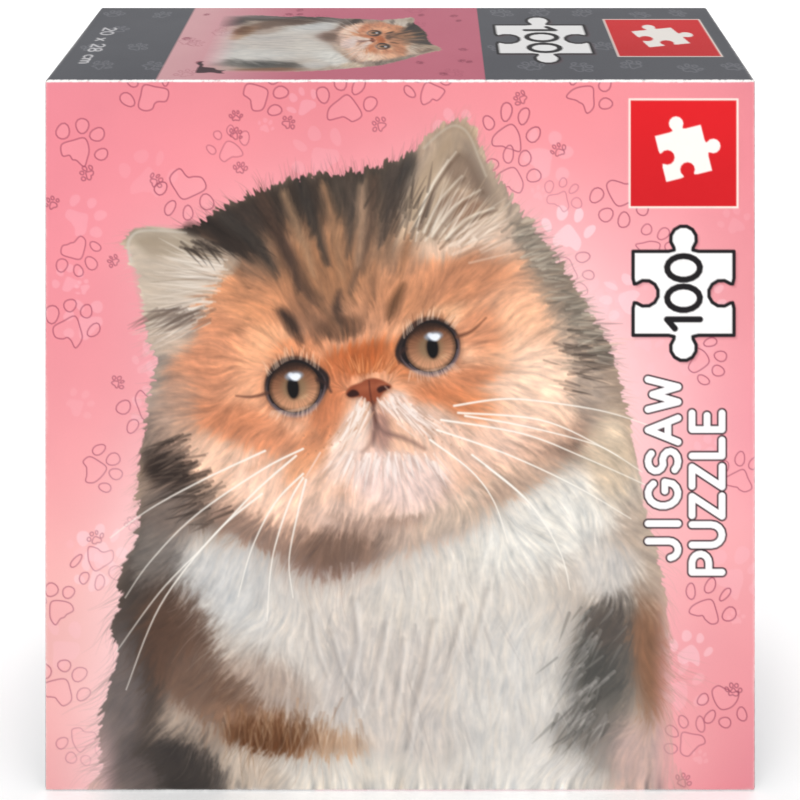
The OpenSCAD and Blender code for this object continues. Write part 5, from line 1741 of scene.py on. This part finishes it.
# ------------------------------------------------------------------ the film bag
def bag_start(n):
    """Two pans of film meeting in a flat seam, as one closed skin, in millimetres about the bag's middle."""
    seam, body, yf, yb, ys = 68.4, 67.05, BAG_FRONT, BAG_BACK, 7.1
    s = np.linspace(-1, 1, n + 1)
    S, Tt = np.meshgrid(s, s, indexing="ij")
    q = np.maximum(abs(S), abs(Tt))
    steps_face, steps_wall = 0.80, 0.96
    halfs = np.interp(q, [0, steps_face, steps_wall, 1], [0, body, body, seam])
    dirx, dirz = S / np.maximum(q, 1e-9), Tt / np.maximum(q, 1e-9)
    x, z = dirx * halfs, dirz * halfs
    # each pan: a flat face, then a sloping wall out to the seam
    out = []
    for y_face in (yf, yb):
        y = np.interp(q, [0, steps_face, steps_wall, 1], [y_face, y_face, ys, ys])
        out.append(np.stack([x, y, z], -1))
    idx = np.arange((n + 1) ** 2).reshape(n + 1, n + 1)
    ring = np.concatenate([idx[0, :-1], idx[:-1, -1], idx[-1, :0:-1], idx[:0:-1, 0]])
    idx2 = np.arange((n + 1) ** 2) + (n + 1) ** 2
    idx2[ring] = ring
    idx2 = idx2.reshape(n + 1, n + 1)
    f = np.stack([idx[:-1, :-1], idx[:-1, 1:], idx[1:, 1:], idx[1:, :-1]], -1).reshape(-1, 4)
    g = np.stack([idx2[:-1, :-1], idx2[1:, :-1], idx2[1:, 1:], idx2[:-1, 1:]], -1).reshape(-1, 4)
    co = np.concatenate([out[0].reshape(-1, 3), out[1].reshape(-1, 3)])
    used = np.unique(np.concatenate([f.ravel(), g.ravel()]))
    remap = -np.ones(len(co), int)
    remap[used] = np.arange(len(used))
    return co[used], remap[np.concatenate([f, g])], ring


def film_bag():
    n = 72
    co, quads, ring = bag_start(n)
    scale = 20.0 * MM                 # simulated twenty times larger, then brought back
    mid = np.array((0, 7.1, 0))
    big = (co - mid) * scale
    rough = np.random.RandomState(3).randn(*big.shape) * 0.004
    me = new_mesh("film_start", big + rough, quads)
    ob = bpy.data.objects.new("film_start", me)
    bpy.context.scene.collection.objects.link(ob)
    moved = big
    sc = bpy.context.scene
    md = ob.modifiers.new("Cloth", "CLOTH")
    st = md.settings
    st.quality = 6
    st.mass = 0.15
    st.tension_stiffness = st.compression_stiffness = 25
    st.shear_stiffness = 8
    st.bending_stiffness = 0.35
    st.use_pressure = True
    st.uniform_pressure_force = 4.0
    st.shrink_min = -0.055
    st.effector_weights.gravity = 0
    md.collision_settings.use_collision = False
    md.point_cache.frame_start, md.point_cache.frame_end = 1, 20
    sc.frame_start, sc.frame_end = 1, 20
    for fr in range(1, 21):
        sc.frame_set(fr)
        bpy.context.view_layer.update()
    ev = ob.evaluated_get(bpy.context.evaluated_depsgraph_get())
    got = np.zeros(len(ev.data.vertices) * 3, np.float32)
    ev.data.vertices.foreach_get("co", got)
    moved = got.reshape(-1, 3).astype(float)
    sc.frame_set(1)
    bpy.data.objects.remove(ob)
    bpy.data.meshes.remove(me)
    final = moved / scale + mid
    start = co
    # the film lies on the pieces, and stands proud by a few millimetres at most where there is room
    d = np.nan_to_num(final - start)
    print("film moved", np.abs(d).max(0), "mean", d.mean(0))
    face_f = np.clip((-(start[:, 1]) - 2.0) / 3.0, 0, 1)          # 1 on the front face, 0 at the back
    lo_y = np.where(start[:, 1] < 7.0, BAG_FRONT - 2.6, start[:, 1] - 0.05)
    hi_y = np.where(start[:, 1] < -5.5, BAG_FRONT + 0.02, np.where(start[:, 1] < 7.0, start[:, 1] + 1.0, np.minimum(start[:, 1] + 0.3, BAG_BACK + 0.12)))
    lo_y = np.where(start[:, 1] > 19.0, BAG_BACK - 0.02, lo_y)
    p = start + d * np.array((1, 1, 1))
    # the depth is clipped, so the front stands out 2.6 mm at most and barely sinks into the pieces
    p[:, 1] = np.clip(p[:, 1], lo_y, hi_y)
    for ax in (0, 2):
        lim = np.clip(np.abs(p[:, ax]), 0, 68.4)
        near = np.abs(start[:, ax]) > 67.0
        lim = np.where(near, np.clip(lim, 66.98, 68.4), np.minimum(lim, 67.3))
        p[:, ax] = np.sign(start[:, ax]) * np.where(near, lim, np.abs(p[:, ax])) if False else np.where(
            near, np.sign(start[:, ax]) * lim, np.clip(p[:, ax], -67.3, 67.3))
    p[:, 2] += 72.5
    me = new_mesh("bag_film", p * MM, quads)
    seam = np.clip((np.maximum(np.abs(start[:, 0]), np.abs(start[:, 2])) - 67.1) / 0.6, 0, 1)
    paint(me, np.full((len(p), 3), 0.9), seam)
    ob = show(me, "bag_film", FILM, "bag")
    sub = ob.modifiers.new("Subdivision", "SUBSURF")
    sub.levels = sub.render_levels = 1
    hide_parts("bag_front_film", "bag_back_film")
    return ob


bag = film_bag()

# ------------------------------------------------------------------ floor, light and camera
scene = bpy.context.scene
bpy.ops.mesh.primitive_grid_add(x_subdivisions=24, y_subdivisions=24, size=40.0, location=(0, 0, 0))
floor = bpy.context.object
floor.name = "floor"
floor.location.z = -0.00005
floor.data.materials.append(floor_material())

world = bpy.data.worlds.new("studio")
scene.world = world
world.use_nodes = True
bg = world.node_tree.nodes.get("Background") or world.node_tree.nodes.new("ShaderNodeBackground")
bg.inputs["Color"].default_value = (1.0, 1.0, 1.0, 1.0)
# a pale cyclorama: brightest at the horizon, softer overhead
wt = world.node_tree
sky = wt.nodes.new("ShaderNodeTexCoord")
split = wt.nodes.new("ShaderNodeSeparateXYZ")
wt.links.new(sky.outputs["Generated"], split.inputs["Vector"])
wt.links.new(span(wt, split.outputs["Z"], 0.10, 0.75, HORIZON, WORLD), bg.inputs["Strength"])


def area(name, place, aim, size, power, colour=(1, 1, 1)):
    lamp = bpy.data.lights.new(name, "AREA")
    lamp.shape = "RECTANGLE"
    lamp.size, lamp.size_y = size
    lamp.energy = power
    lamp.color = colour
    ob = bpy.data.objects.new(name, lamp)
    scene.collection.objects.link(ob)
    ob.location = place
    ob.rotation_euler = (Vector(aim) - Vector(place)).to_track_quat("-Z", "Y").to_euler()
    return ob


area("key_softbox", (-0.55, -0.75, 0.95), (0, 0, 0.07), (0.7, 0.7), KEY)
area("fill_softbox", (0.75, -0.65, 0.55), (0, 0, 0.07), (0.6, 0.6), FILL)
area("top_softbox", (0.0, 0.25, 1.1), (0, 0, 0.05), (0.9, 0.9), TOP)

# The camera looks straight along +Y from above the box, with its frame moved down: the
# picture panel stays square while the top shows. The move is in the camera's own
# parent matrix, so other views are centred.
Wb = 0.145
dist = 1.695 * Wb
per_m = 711 / Wb
eye = Vector((0.035 * Wb, -0.0215 - dist, Wb + 0.6925 * Wb))
f = per_m * dist / 800
shx, shy = (400 - 425) / 800, -(400 + 412) / 800
X, Y, Z = Vector((1, 0, 0)), Vector((0, 0, 1)), Vector((0, -1, 0))
Zp = Z - (shx * X + shy * Y) / f
k = Zp.length
Zn = Zp / k
cam = bpy.data.cameras.new("camera")
cam.sensor_width = 36
cam.lens = 36 * f * k
cam.clip_start, cam.clip_end = 0.01, 50
co = bpy.data.objects.new("camera", cam)
scene.collection.objects.link(co)
stand = bpy.data.objects.new("camera_stand", None)
scene.collection.objects.link(stand)
co.parent = stand
co.matrix_parent_inverse = Matrix(((X.x, Y.x, Zn.x, eye.x), (X.y, Y.y, Zn.y, eye.y), (X.z, Y.z, Zn.z, eye.z), (0, 0, 0, 1)))
scene.camera = co
scene.view_settings.view_transform = "Standard"
scene.view_settings.look = "None"
